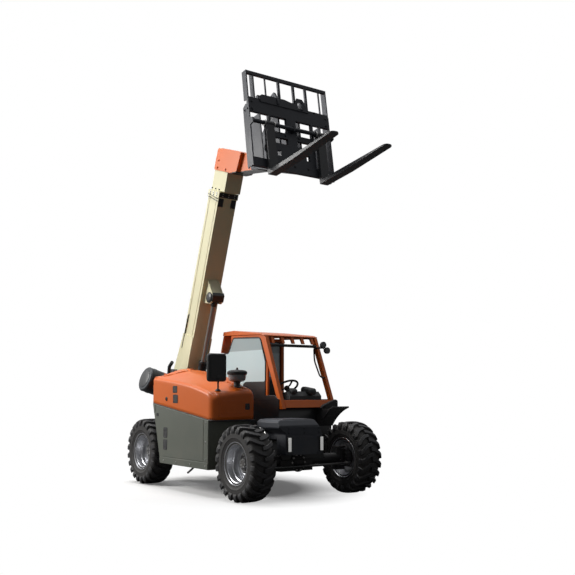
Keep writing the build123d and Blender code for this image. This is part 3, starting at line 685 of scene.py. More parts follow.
SIDE = axes_at((0, 0, 0), (1, 0, 0), (0, 0, 1))          # outline in XZ, raised towards the right
CROSS = axes_at((0, 0, 0), (0, 1, 0), (0, 0, 1))         # outline in YZ, raised towards the front
FLIPPED = np.diag([1.0, 1.0, -1.0, 1.0])                 # a mirror in the plane Z = 0
LEAN, TIP = radians(71.2), radians(8.5)
LIFT_PIN = (1.2227, -0.4255)                             # the lift rod's pin along the boom and across it
BOOM = axes_at((-2.55, BOOM_Y, 1.42), (cos(LEAN), 0, sin(LEAN)), (-sin(LEAN), 0, cos(LEAN)))
PIVOT = (-0.59116, BOOM_Y, 4.00431)
CARRIAGE = axes_at(PIVOT, (cos(TIP), 0, sin(TIP)), (-sin(TIP), 0, cos(TIP)))
AXLE_Z, TRACK, WHEELBASE = 0.420, 0.7525, 2.290          # axle height, half the track, axle to axle
WHEEL_TURN = 0.4                                         # of every wheel about its axle, in radians


def plate(plane, outline, low, high, edge=0.002, corner=0.0):
    """An outline raised off a plane between two heights, its corners rounded first where asked."""
    outline = looped(outline, corner, 5) if corner else outline
    return moved(prism(outline, low, high, edge), plane)


def right_plate(outline, out, thick, edge, corner):
    """A thin plate on the machine's right side, whose outer face stands at Y = -out."""
    return plate(SIDE, outline, out - thick, out, edge, corner)


def oblong(x, y, w, h):
    """The corners of a rectangle about a middle."""
    return [(x - w / 2, y - h / 2), (x + w / 2, y - h / 2), (x + w / 2, y + h / 2), (x - w / 2, y + h / 2)]


def louvres(plane, x, y, w, h, height, slats):
    """A vent: a rounded frame and a row of tilted slats, on a plane at a height, and a thin backing plate behind
    them that stands for the shade inside the opening.
    """
    outline = looped(oblong(x, y, w, h), 0.012, 5)
    rim_path = np.column_stack([outline, np.full(len(outline), height + 0.001)])
    rim = swept(rim_path, looped(oblong(0, 0, 0.008, 0.005), 0.002, 3), closed=True)
    slat = pebble((w - 0.006, 0.011, 0.0028), 0.0012, 2)
    tilt = Matrix.Rotation(radians(-38), 4, "X")
    levels = y + (np.arange(slats) + 0.5 - slats / 2) * h / slats
    rows = [np.array(Matrix.Translation((x, level, height + 0.0015)) @ tilt) for level in levels]
    # The backing is painted shade: a sheet, finished black by the callers, where the open vent would show the
    # shaded bay.
    back = prism(outline, height - 0.002, height + 0.0004, 0.0003)
    return moved(joined(rim, repeated(slat, rows)), plane), moved(back, plane)


def tyre_shape(lugs, half_top, depth):
    """A tyre about local Z, its outer side up: a turned carcass under bars that run from the tread's
    middle out over the shoulder. Along a bar its crown follows (width, radius) points, its feet lie
    inside the carcass, and its angle swings forward with the distance from the middle."""
    wall = mm("208.5,117 232,118.5 238.5,122.5 242,130.5 248,131.5 256,133.5 275,139 278,141.5 283,140.5 "
              "305,142.5 330,141.5 352,137 370,128 383,114 390,93 393.5,60 394.5,25")
    carcass = turned(wall + [(r, -w) for r, w in wall[::-1]], 120)
    crown = rounded(mm("-14,419.5 45,419.5 92,417.5 124,411 144,396 151.8,370 150,336"), 0.02, 3)
    spread = np.linspace(0, 1, len(crown))[:, None]
    foot = np.column_stack([np.clip(crown[:, 0], -1, 0.136) * 0.94,
                            np.minimum(crown[:, 1] - depth - 0.006, 0.386)])
    shoulder = 1 + 0.28 * spread
    half = half_top * shoulder
    offsets = np.concatenate([-half - 0.006, -half, -half + 0.004, half - 0.004, half, half + 0.006], axis=1)
    lift = np.array([0.0, 0.84, 1.0, 1.0, 0.84, 0.0])
    line = foot[:, None] + (crown - foot)[:, None] * lift[None, :, None]
    swing = 0.20 * np.minimum(spread / 0.62, 1.0) ** 1.15 - 0.10
    angle = swing + offsets / line[:, :, 1]
    bar = np.stack([line[:, :, 1] * np.cos(angle), line[:, :, 1] * np.sin(angle), line[:, :, 0]], axis=-1)
    caps = [np.broadcast_to(bar[k].mean(axis=0), (1, 6, 3)) for k in (0, -1)]
    bar = grid(np.concatenate([caps[0], bar, caps[1]]), wrap_columns=True)
    pitch = tau / lugs
    outer = [spun(k * pitch) for k in range(lugs)]
    inner = [spun((k + 0.5) * pitch) @ FLIPPED for k in range(lugs)]
    return joined(carcass, repeated(bar, outer), repeated(bar, inner))


# A rim's profile, (radius, height) once round: the dish, the outer flange, then back along the barrel.
RIM_LINE = mm("89,-40 89,-31 100,-29 115,-15 138,-9 152,-13 162,-23 173,-25 180,-15 182,30 186,40 193.5,45 "
              "196.5,52 197.5,95 201,105 212,110 222,114 227,122 230,127 234.5,127 236,122.5 233,118.5 "
              "208,116.5 206,50 192,30 190,-60 206,-80 208,-116.5 233,-118.5 235,-124.5 229,-126.5 224,-120 "
              "208,-110 200,-88 183,-64 178,-42 150,-33 100,-40")


def hood_shape(height_of, corner, crown):
    """The hood as rings that climb its walls, roll over its shoulder and close on its spine.
    A ring is a rectangle with round corners; above the wall it moves inwards by R(1 - cos a) and
    up by R sin a below the roof's height, where R grows towards the boom; then it shrinks to the spine."""
    back, front, right, left = -2.016, -0.520, -0.870, -0.272
    even = 0.5 - 0.5 * np.cos(np.linspace(0, 1, 24) * pi)[:, None]
    quarter = np.linspace(0, pi / 2, 9)
    corners = np.array([(front, right), (front, left), (back, left), (back, right)])
    sizes = [corner, 0.06, 0.02, 0.02]
    outline = []
    for k, start in enumerate(corners):
        end, beyond, size = corners[(k + 1) % 4], corners[(k + 2) % 4], sizes[(k + 1) % 4]
        ahead = (end - start) / np.linalg.norm(end - start)
        turn = (beyond - end) / np.linalg.norm(beyond - end)
        first, last = start + ahead * sizes[k], end - ahead * size
        outline.append(first + even * (last - first))
        a = quarter[1:-1, None]
        outline.append(end - ahead * size + turn * size + size * (ahead * np.sin(a) - turn * np.cos(a)))
    outline = np.concatenate(outline)
    ahead = np.roll(outline, -1, axis=0) - np.roll(outline, 1, axis=0)
    inward = np.column_stack([-ahead[:, 1], ahead[:, 0]]) / np.linalg.norm(ahead, axis=1)[:, None]
    forwards, leftwards = np.clip(-inward[:, 0], 0, 1), -inward[:, 1]
    roll = 0.042 + 0.075 * np.clip(leftwards, 0, 1) ** 2 + 0.080 * forwards * np.clip(-leftwards, 0, 1)

    def roof(flat):
        """The roof's height over plan points: the outer edge's height plus a crown that swells inwards
        along a smooth step and falls off towards the front."""
        edge = height_of(flat[..., 0])
        rise = np.clip((flat[..., 1] - right) / 0.43, 0, 1)
        swell = 0.30 * rise + 0.70 * rise * rise * (3 - 2 * rise)
        away = np.clip((front - flat[..., 0]) / 0.90, 0, 1)
        return edge + crown * swell * (0.35 + 0.65 * away * (2 - away))

    def foot(flat):
        """The wall's lower edge, level at the front and climbing towards the back."""
        return 0.869 + np.clip((-0.59 - flat[..., 0]) / 1.42, 0, 1) * 0.177 + 0.003

    low, high = foot(outline), roof(outline) - roll
    rings = [np.column_stack([outline, low + (high - low) * rise]) for rise in np.linspace(0, 1, 9)]
    for a in quarter[1:]:
        flat = outline + inward * (roll * (1 - cos(a)))[:, None]
        rings.append(np.column_stack([flat, roof(flat) - roll * (1 - sin(a))]))
    shoulder = outline + inward * roll[:, None]
    spine = np.column_stack([np.clip(outline[:, 0], back + 0.30, front - 0.30), np.full(len(outline), -0.50)])
    for share in np.linspace(0, 1, 15)[1:]:
        flat = shoulder + (spine - shoulder) * share
        rings.append(np.column_stack([flat, roof(flat)]))
    return grid(np.array(rings), wrap_columns=True)


def hood_edge(x):
    """The height of the hood's outer top edge along the machine: straight runs between measured points."""
    return np.interp(x, [-2.016, -1.70, -1.379, -1.15, -1.000, -0.850, -0.760, -0.660, -0.590, -0.520],
                     [1.376, 1.352, 1.320, 1.293, 1.270, 1.240, 1.220, 1.197, 1.180, 1.162])


def wheels():
    """Each wheel's name, centre and matrix, whose local Z points outwards."""
    for end, x in (("front", 0.0), ("rear", -WHEELBASE)):
        for hand, out in OUTWARD.items():
            centre = (x, out * TRACK, AXLE_Z)
            yield f"{end}_{hand}", centre, at(centre, (0, out, 0), WHEEL_TURN)


class TelehandlerPiece:
    """What the operators that build pieces have in common."""

    bl_options = {"REGISTER", "UNDO"}

    def execute(self, context):
        self.build(context.scene.telehandler_sizes)
        return {"FINISHED"}


class TELEHANDLER_OT_tyres(TelehandlerPiece, bpy.types.Operator):
    """Bar-tread tyres with bulged side walls, and a value that goes from 0 in the grooves to 1 on the lugs"""

    bl_idname = "telehandler.tyres"
    bl_label = "Tyres"

    def build(self, sizes):
        shape = tyre_shape(sizes.lug_count, sizes.lug_width / 2, sizes.lug_depth)
        for wheel, centre, place in wheels():
            tyre = piece(f"{wheel}_tread", moved(shape, place), f"{wheel}_wheel", "tyre_rubber", crease=40,
                         replaces=[f"{wheel}_tyre"])
            points = np.zeros(len(tyre.data.vertices) * 3)
            tyre.data.vertices.foreach_get("co", points)
            offset = points.reshape(-1, 3) - spot(*centre)
            over_crown = np.hypot(offset[:, 0], offset[:, 2]) - 0.398
            over_wall = np.abs(offset[:, 1]) - 0.1435
            tread = np.clip(np.maximum(over_crown / 0.018, over_wall / 0.006), 0, 1)
            values = tyre.data.attributes.new("tread", "FLOAT", "POINT").data
            values.foreach_set("value", tread.astype(np.float32))


class TELEHANDLER_OT_rims(TelehandlerPiece, bpy.types.Operator):
    """Dished steel rims with hub covers, nuts and valves"""

    bl_idname = "telehandler.rims"
    bl_label = "Rims and hubs"

    def build(self, sizes):
        valve = swept(mm("186,0,0 176,0,12 170,0,30"), circle(0.004, 8))
        rim = joined(turned(RIM_LINE, 120, closed=True), valve)
        hub = turned(mm("0,33.5 30,33.5 34,30 49,29.5 53,26 55,8 60,3 74,1 76,-5 79,-11 90,-20 118,-12.5 "
                        "118,-17 88,-30 0,-30"), 64)
        stud = turned(mm("0,12 5.5,12 7,10 7,0"), 12)
        seat = turned(mm("0,-4 16,-4 19,-10 19,-16 0,-16"), 20)
        nut = joined(prism(hexagon(0.026), -0.016, 0.004, 0.002), stud, seat)
        nuts = joined(repeated(nut, ring_of((0, 0, 0.0), (0, 0, 1), 0.098, sizes.wheel_nuts)),
                      repeated(bolt(0.013, 0.008), ring_of((0, 0, 0.0295), (0, 0, 1), 0.0415, 8, 0.2)))
        for wheel, _, place in wheels():
            body = f"{wheel}_wheel"
            piece(f"{wheel}_dish", moved(rim, place), body, "silver_paint", crease=32,
                  replaces=[f"{wheel}_rim"])
            piece(f"{wheel}_hub", moved(hub, place), body, "hub_paint", crease=32)
            piece(f"{wheel}_nuts", moved(nuts, place), body, "zinc_plate")


class TELEHANDLER_OT_axles(TelehandlerPiece, bpy.types.Operator):
    """Axle castings, knuckles and steering links with their fastenings"""

    bl_idname = "telehandler.axles"
    bl_label = "Axles and steering"

    def build(self, sizes):
        gaiter = turned(mm("16,0 24,4 20,10 26,16 21,22 24,28 15,34"), 20)
        cover = turned(mm("0,16 60,14 85,6 104,2 106,-4 0,-4"), 48)
        flange = turned(mm("0,20 66,20 70,16 70,0 0,0"), 32)
        ring = turned(mm("30,4 90,4 94.5,0 94.5,-12 30,-12"), 48)
        for end, x, facing in (("front", 0.0, 1), ("rear", -WHEELBASE, -1)):
            eased(f"{end}_axle", "cast_iron", 0.008)
            eased(f"{end}_tie_rod", "black_paint", 0.002)
            boots = [at((x + facing * 0.130, s * 0.560, AXLE_Z - 0.060), (0, s, 0)) for s in SIDES]
            piece(f"{end}_tie_boots", repeated(gaiter, boots), f"{end}_tie_rod", "hose_rubber", crease=50)

            def drive(out):
                """A place on the drive's axis, as far from the axle as asked, and the way it faces."""
                return (x + facing * out, -0.080, AXLE_Z - 0.020), (facing * np.sign(out), 0, 0)

            case = joined(moved(cover, at(*drive(0.072))), moved(flange, at(*drive(-0.074))))
            piece(f"{end}_drive_cover", case, "chassis", "cast_iron")
            bolts = repeated(bolt(0.016, 0.009), ring_of(*drive(0.076), 0.086, 10))
            ends = [repeated(bolt(0.018, 0.010), ring_of((x, s * 0.556, AXLE_Z), (0, s, 0), 0.040, 4, 0.6))
                    for s in SIDES]
            piece(f"{end}_axle_bolts", joined(bolts, *ends), "chassis", "zinc_plate")
            for hand, s in OUTWARD.items():
                eased(f"{end}_{hand}_knuckle", "cast_iron", 0.005)
                heads = ring_of((x, s * 0.605, AXLE_Z), (0, -s, 0), 0.078, 10, 0.15)
                heads = repeated(bolt(0.016, 0.009), heads)
                carrier = joined(moved(ring, at((x, s * 0.616, AXLE_Z), (0, -s, 0))), heads)
                piece(f"{end}_{hand}_hub_carrier", carrier, f"{end}_{hand}_knuckle", "cast_iron")


class TELEHANDLER_OT_hood(TelehandlerPiece, bpy.types.Operator):
    """The engine hood with its vents, latch and hinge"""

    bl_idname = "telehandler.hood"
    bl_label = "Hood"

    def build(self, sizes):
        shell = piece("hood_shell", hood_shape(hood_edge, sizes.hood_corner, sizes.hood_crown), "hood",
                      "orange_paint", crease=60, replaces=["hood"], weld=1e-4)
        wall = shell.modifiers.new("Wall", "SOLIDIFY")
        wall.thickness, wall.offset = sizes.hood_skin, -1.0
        ear = mm("-2062,1405 -2055,1422 -2038,1429 -2000,1429 -2000,1381 -2038,1381 -2055,1388")
        ears = [plate(SIDE, ear, out - 0.024, out) for out in (0.700, 0.420)]
        piece("hood_ears", joined(*ears), "hood", "orange_paint")
        eased("hood_hinge", "black_paint", 0.002)
        upper, upper_shade = louvres(SIDE, -1.415, 1.222, 0.105, 0.078, 0.8702, 5)
        lower, lower_shade = louvres(SIDE, -1.400, 1.106, 0.115, 0.096, 0.8702, 6)
        small, small_shade = louvres(CROSS, -0.385, 1.020, 0.055, 0.066, -0.5200, 4)
        piece("hood_vent_slats", joined(upper, lower, small), "hood", "black_plastic", crease=40)
        # Painted shade: black backings behind the slats stand for the dark inside the vents.
        piece("hood_vent_backs", joined(upper_shade, lower_shade, small_shade), "hood", "black_paint")
        recess = plate(CROSS, oblong(-0.600, 1.015, 0.290, 0.150), -0.5215, -0.5185, 0.0012, 0.02)
        piece("hood_front_plate", recess, "hood", "orange_paint")
        cup = turned(mm("0,2 12,2 14,6 22,6 26,3 26,-2 0,-2"), 32)
        latch = joined(moved(cup, SIDE @ at((-1.634, 1.104, 0.870))),
                       moved(pebble((0.014, 0.034, 0.008), 0.003), SIDE @ at((-1.634, 1.104, 0.872))))
        piece("hood_latch", latch, "hood", "black_plastic", crease=40)
        path = mm("-2000,-866,1048 -600,-866,873.5 -530,-862,866 -524,-820,865 -524,-280,865")
        seal = swept(rounded(path, 0.03, 5), circle(0.0055, 8))
        piece("hood_seal", seal, "hood", "hose_rubber", crease=50)


class TELEHANDLER_OT_engine_bay(TelehandlerPiece, bpy.types.Operator):
    """The grey side panel, the bay's inner wall and the engine's plain block"""

    bl_idname = "telehandler.engine_bay"
    bl_label = "Engine bay"

    def build(self, sizes):
        eased("side_panel", "grey_paint", 0.006)
        eased("bay_wall", "black_paint", 0.003)
        eased("engine_cradle", "black_paint", 0.004)
        eased("engine_block", "cast_iron", 0.012)
        face = 0.8745                                    # how far out the side panel stands
        gap = sizes.panel_gap
        door = mm("-1722,392 -1925,960 -1925,1026 -704,874 -704,392")
        strip = [(-0.704 + gap, 0.392), (-0.704 + gap, 0.873), (-0.596, 0.861), (-0.596, 0.392)]
        skirt = mm("-1772,308 -1790,366 -1776,386 -596,386 -596,308")
        rear = [(-1.925 - gap, 0.962), (-1.962, 0.920), (-1.998, 1.036), (-1.925 - gap, 1.027)]
        piece("side_door", right_plate(door, face, 0.006, 0.002, 0.010), "chassis", "grey_paint")
        strips = joined(right_plate(strip, face, 0.006, 0.002, 0.006),
                        right_plate(skirt, 0.8790, 0.010, 0.003, 0.006),
                        right_plate(rear, face, 0.006, 0.002, 0.004))
        piece("side_strips", strips, "chassis", "grey_paint")
        top, top_shade = louvres(SIDE, -1.640, 0.688, 0.092, 0.118, 0.8746, 7)
        low, low_shade = louvres(SIDE, -1.640, 0.540, 0.092, 0.118, 0.8746, 7)
        catch, catch_shade = louvres(SIDE, -1.862, 0.905, 0.050, 0.032, 0.8746, 2)
        piece("side_vent_slats", joined(top, low, catch), "chassis", "black_plastic", crease=40)
        # Painted shade: black backings behind the slats stand for the dark inside the vents.
        piece("side_vent_backs", joined(top_shade, low_shade, catch_shade), "chassis", "black_paint")
        bolts = [SIDE @ at((-0.650, z, face)) for z in (0.84, 0.62, 0.42)]
        bolts += [SIDE @ at((x, 0.345, face + 0.0045)) for x in (-1.675, -1.35, -1.0, -0.65)]
        piece("side_bolts", repeated(bolt(0.013, 0.006), bolts), "chassis", "zinc_plate")
        cap = turned(mm("0,20 22,20 26,14 26,0"), 24)
        heads = []
        for k in range(3):
            x = -1.60 + 0.20 * k
            heads.append(block((x - 0.085, -0.660, 0.885), (x + 0.085, -0.440, 0.965), 0.02, 4))
            heads.append(moved(cap, at((x, -0.55, 0.958))))
        piece("engine_top", joined(*heads), "chassis", "cast_iron", crease=40)
        fan = turned(mm("0,50 50,50 60,30 60,0 190,0 200,12 215,12 215,-20 0,-20"), 48)
        fan = moved(fan, at((-1.045, -0.56, 0.66), (1, 0, 0)))
        piece("engine_fan_ring", fan, "chassis", "black_plastic", crease=35)
        drain = pipe(mm("-1000,-800,330 -1020,-830,290 -1100,-850,235"), 0.012, 0.02)
        piece("bay_drain", drain, "chassis", "hose_rubber", crease=50)


class TELEHANDLER_OT_boom(TelehandlerPiece, bpy.types.Operator):
    """Both boom tubes and the head, with weld seams, wear pads, pins and pipe runs"""

    bl_idname = "telehandler.boom"
    bl_label = "Boom"

    def build(self, sizes):
        eased("outer_boom", "cream_paint", 0.008)
        eased("inner_boom", "cream_paint", 0.008)
        eased("boom_head", "orange_paint", 0.010)
        low, top, half = -0.2915, -0.0155, 0.140         # the outer tube's underside, top and half width
        seams = []
        for y, width, corner in ((low + 0.048, 0.008, 0.003), (top - 0.048, 0.006, 0.0025)):
            bead = looped(oblong(0, 0, 0.010, width), corner, 3)
            seams += [swept([(0.64, y, s * half), (2.54, y, s * half)], bead) for s in SIDES]
        piece("boom_seams", moved(joined(*seams), BOOM), "boom", "cream_paint", crease=50)
        pads = []
        for x in (2.574, 2.602):
            pads += [at((x, y, s * 0.150), (0, 0, s)) for y in (-0.24, -0.153, -0.066) for s in SIDES]
            pads += [at((x, y, z), (0, s, 0)) for y, s in ((low - 0.010, -1), (top + 0.010, 1))
                     for z in (-0.09, 0.0, 0.09)]
        piece("boom_pad_bolts", moved(repeated(bolt(0.016, 0.009), pads), BOOM), "boom", "zinc_plate")
        liner = [block((2.430, low - 0.0060, z - 0.036), (2.540, low + 0.004, z + 0.036), 0.003, 3)
                 for z in (-0.096, 0.096)]
        liner += [block((2.556, low - 0.0150, -0.1400), (2.6200, low + 0.004, 0.1400), 0.004)]
        liner += [block((2.645, y - 0.010, 0.112), (2.662, y + 0.010, 0.134), 0.003, 3)
                  for y in (-0.245, -0.150, -0.055)]
        piece("boom_wear_pads", moved(joined(*liner), BOOM), "boom", "black_plastic", crease=40)
        ties = [pipe([(x, low + 0.005, 0.1515), (x + 0.035, top - 0.005, 0.1515)], 0.0045)
                for x in (2.50, 2.534)]
        ties.append(pipe(mm("400,-45,140.5 420,-45,150 860,-60,150 900,-60,140.5"), 0.008))
        piece("boom_side_lines", moved(joined(*ties), BOOM), "boom", "black_paint", crease=50)
        collar = turned(mm("0,18 30,18 34,14 34,10 60,10 64,6 64,-2 0,-2"), 48)
        caps = [moved(collar, at((0, 0, s * 0.157), (0, 0, s))) for s in SIDES]
        keeper = [block((-0.014, 0.028, s * 0.158 - 0.004), (0.014, 0.064, s * 0.158 + 0.004), 0.002, 3)
                  for s in SIDES]
        piece("boom_pin_caps", moved(joined(*caps, *keeper), BOOM), "boom", "cream_paint", crease=32)
        cap = turned(mm("0,10 26,10 29,7 52,6 64,0 72,-6 72,-13.8 0,-13.8"), 48)
        upper = [moved(cap, at((*LIFT_PIN, s * 0.100), (0, 0, s))) for s in SIDES]
        strip = mm("1186,-499 1186,-511 1273,-513 1306,-486 1296,-478 1269,-499")
        upper.append(prism(strip, -0.0900, 0.0900, 0.003))
        piece("lift_pin_caps", moved(joined(*upper), BOOM), "boom", "black_paint", crease=32)
        cheeks = [moved(collar, at((3.0777, -1.0215, s * 0.082), (0, 0, s), size=0.85)) for s in SIDES]
        bolts = [at((x, y, s * 0.130), (0, 0, s)) for x, y in mm("2930,-100 2930,-320 3030,-100")
                 for s in SIDES]
        guard = mm("2888,-440 2900,-448 2933.5,-580 2920.5,-580")
        tail = mm("2921.5,-580 2933.5,-580 2960,-696 3026,-1060 3014,-1064 2948,-699")
        covers = [prism(guard, -0.127, 0.127, 0.002), prism(tail, -0.079, 0.079, 0.002)]
        piece("boom_head_guard", moved(joined(*covers), BOOM), "telescope", "black_paint")
        corner = mm("3020,-19.9 3165,-19.9 3194.6,-49.9 3194.6,-190 3100,-190 3020,-100")
        cheeks.append(prism(corner, -0.1296, 0.1296, 0.006))
        piece("boom_head_caps", moved(joined(*cheeks), BOOM), "telescope", "orange_paint", crease=32)
        bolts = repeated(bolt(0.022, 0.013), bolts)
        piece("boom_head_bolts", moved(bolts, BOOM), "telescope", "orange_paint")


class TELEHANDLER_OT_lift_cylinder(TelehandlerPiece, bpy.types.Operator):
    """The lift cylinder: a painted barrel with its gland and ports, and a bright rod"""

    bl_idname = "telehandler.lift_cylinder"
    bl_label = "Lift cylinder"

    def build(self, sizes):
        pin = (BOOM @ (*LIFT_PIN, 0, 1))[:3]
        foot = np.array([-2.346, BOOM_Y, 0.717])
        aim = pin - foot
        place = at(foot, aim)
        eased("lift_barrel", "black_paint", 0.003)
        eased("lift_rod", "chrome_rod", 0.002)
        gland = turned(mm("33.5,900 33.5,936 50,936 53.5,932 53.5,924 61,920 61,880 57.5,874 57,862"), 48)
        foot_ring = turned(mm("56.5,85 60,92 60,112 56.5,118"), 48)
        port = joined(prism(hexagon(0.026), 0.0, 0.014, 0.002), turned(mm("0,30 11,30 11,12"), 16))
        ports = [moved(port, place @ at((0.056, 0, z), (1, 0, 0))) for z in (0.140, 0.846)]
        line = pipe(mm("85,0,140 95,0,165 78,0,210 78,0,780 95,0,825 85,0,846"), 0.0075, 0.03)
        band = looped(oblong(0, 0, 0.004, 0.02), 0.001, 2)
        clamps = [swept(np.column_stack([circle(0.0605, 32), np.full(32, z)]), band, closed=True)
                  for z in (0.32, 0.64)]
        eye = turned(mm("54.5,-56.5 60,-56 63.5,-52 63.5,52 60,56 54.5,56.5"), 56, closed=True)
        neck = turned(mm("32.5,-120 40,-114 44,-90 44,-50 32.5,-50"), 40)
        rod_end = joined(moved(eye, at(pin, (0, 1, 0))), moved(neck, at(pin, aim)))
        piece("lift_rod_eye", rod_end, "lift_rod", "black_paint", crease=32)
        piece("lift_gland", moved(joined(gland, foot_ring), place), "lift_barrel", "black_paint", crease=32)
        piece("lift_ports", joined(*ports, moved(line, place)), "lift_barrel", "zinc_plate", crease=35)
        piece("lift_clamps", moved(joined(*clamps), place), "lift_barrel", "zinc_plate", crease=35)


class TELEHANDLER_OT_carriage(TelehandlerPiece, bpy.types.Operator):
    """The fork carriage: coupler, frame, backrest and forks with their pins and bolts"""

    bl_idname = "telehandler.carriage"
    bl_label = "Carriage and forks"

    def build(self, sizes):
        for node, width in (("carriage_frame", 0.004), ("quick_coupler", 0.004), ("backrest", 0.003),
                            ("fork_right", 0.005), ("fork_left", 0.005)):
            eased(node, "fork_steel" if "fork_" in node else "charcoal_paint", width, joins=node != "backrest")
        back, front = 0.580, 0.620                       # the frame's two faces, ahead of the tilt pin
        collars = [FLIPPED @ at((0.6525, 0.208, fork + s * 0.068)) for fork in (-0.354, 0.404) for s in SIDES]
        ring = turned(mm("24.5,-7 36,-7 38.5,-4 38.5,4 36,7 24.5,7"), 32)
        piece("fork_collars", moved(repeated(ring, collars), CARRIAGE), "carriage", "zinc_plate", crease=32)
        heads = mm("470,550 470,-550 375,550 375,-550 -260,200 -260,-200 -260,0 118,100 118,-100")
        heads = [at((front, y, z), (1, 0, 0)) for y, z in heads]
        heads += [at((back + 0.035, 0.515, z), (1, 0, 0)) for z in (0.42, 0.22, -0.18, -0.38)]
        heads += [at((x, y, s * 0.600), (0, 0, s)) for y in (0.38, -0.34) for x in (0.53, 0.59) for s in SIDES]
        piece("carriage_bolts", moved(repeated(bolt(0.020, 0.011), heads), CARRIAGE), "carriage", "dark_metal")
        cap = turned(mm("0,16 30,16 34,12 34,0 60,0 62,-3 0,-3"), 40)
        pins = [moved(cap, at((0, 0, s * 0.168), (0, 0, s))) for s in SIDES]
        lock = [pipe([(0.505, 0.440, s * 0.200), (0.505, 0.440, s * 0.245), (0.530, 0.470, s * 0.262),
                      (0.530, 0.540, s * 0.262)], 0.008, 0.02) for s in SIDES]
        piece("coupler_pins", moved(joined(*pins, *lock), CARRIAGE), "carriage", "dark_metal", crease=32)
        lean = (-0.35, 1.0, 0)
        barrel = turned(mm("0,0 40,0 46,6 46,230 40,236 24,236"), 40)
        rod = turned(mm("18,0 18,170 0,170"), 24)
        cross_pin = turned(mm("0,141 16,141 16,30 27,26 27,-26 16,-30 16,-141 0,-141"), 32)
        ram = joined(moved(barrel, at((0.440, -0.130, 0.0), lean)), moved(rod, at((0.361, 0.096, 0.0), lean)),
                     moved(cross_pin, at((0.300, 0.266, 0))))
        piece("coupler_cylinder", moved(ram, CARRIAGE), "carriage", "dark_metal", crease=32)
        across = axes_at((0, 0, 0), (0, 0, 1), (0, 1, 0))        # outline to the right and up, raised backwards
        shield = mm("430,488 430,568 405,588 75,592 -20,574 -96,574 -96,488")
        hook = [mm("-94,488 -94,606 -124,606 -124,488"),
                mm("-94,604 -112,652 -196,652 -234,604"),
                mm("-188,606 -234,606 -282,488 -188,488"),
                mm("-122,488 -122,520 -190,520 -190,488")]
        plates = [plate(across, outline, -front - 0.010, -front + 0.003, 0.0015) for outline in (shield, *hook)]
        piece("carriage_shield", moved(joined(*plates), CARRIAGE), "carriage", "charcoal_paint", crease=32)


class TELEHANDLER_OT_cab(TelehandlerPiece, bpy.types.Operator):
    """The cab's posts, roof, tub, panes and rubber seals"""

    bl_idname = "telehandler.cab"
    bl_label = "Cab"

    def build(self, sizes):
        for node, finish, width in (
                ("cab_right_frame", "orange_paint", 0.009), ("cab_left_frame", "orange_paint", 0.009),
                ("cab_crossbars", "orange_paint", 0.006), ("cab_roof", "orange_paint", 0.012),
                ("cab_tub", "black_paint", 0.010), ("cab_walls", "black_paint", 0.003)):
            eased(node, finish, width)
        side = mm("-1800,1200.5 -1340.3,1200.5 -1275.3,1290.5 -1225,1312.5 -785.5,1312.5 -785.5,1565 -905,1868 "
                  "-1535,1894 -1650,1696 -1800,1696")
        rear = oblong(0.471, 1.579, 0.722, 0.570)
        panes = joined(plate(SIDE, side, -0.053, -0.048, 0.0008, 0.03),
                       plate(CROSS, rear, -1.577, -1.572, 0.0008, 0.03))
        piece("cab_panes", panes, "chassis", "clear_glass", replaces=["cab_windows"])
        lip = looped(oblong(0, 0, 0.014, 0.012), 0.004, 3)
        side, rear = looped(side, 0.035, 6), looped(rear, 0.035, 6)
        side_path = np.column_stack([side[:, 0], np.full(len(side), 0.0505), side[:, 1]])
        rear_path = np.column_stack([np.full(len(rear), -1.5745), rear])
        seals = joined(swept(side_path, lip, closed=True), swept(rear_path, lip, closed=True))
        piece("cab_seals", seals, "chassis", "hose_rubber", crease=50)
        visor = block((-0.792, 0.112, 1.756), (-0.742, 0.828, 1.790), 0.008, 4)
        piece("cab_header", visor, "chassis", "black_plastic", crease=40)
        guard = mm("600,986.5 884,986.5 884,1085 845,1100 760,1075 640,1030")
        guard = plate(CROSS, guard, -0.4140, -0.3800, 0.010, 0.025)
        piece("cab_corner_guard", guard, "chassis", "black_plastic", crease=40)
        rail = mm("-770,838,1765 -786,815,1745 -776,815,1590 -665,815,1392 -610,820,1368 -585,838,1375")
        piece("grab_rail", pipe(rail, 0.010, 0.045), "chassis", "black_plastic", crease=50)
        mat = block((-1.24, 0.115, 0.6915), (-0.66, 0.815, 0.7015), 0.004)
        piece("floor_mat", mat, "chassis", "hose_rubber", crease=40)
        pad, pads = pebble((0.010, 0.075, 0.100), 0.004), []
        for y in (0.42, 0.60):
            pads.append(moved(pad, at((-0.665, y, 0.790)) @ spun(radians(-28), "Y")))
            pads.append(pipe([(-0.655, y, 0.775), (-0.640, y, 0.735), (-0.630, y, 0.700)], 0.008, 0.02))
        piece("pedals", joined(*pads), "chassis", "black_plastic", crease=40)
        hoop = mm("-1160,800,640 -1160,845,600 -1160,850,455 -780,850,455 -780,845,600 -780,800,640")
        step = joined(pipe(hoop, 0.013, 0.05), block((-1.15, 0.800, 0.460), (-0.79, 0.872, 0.474)))
        piece("cab_step", step, "chassis", "black_paint", crease=45)


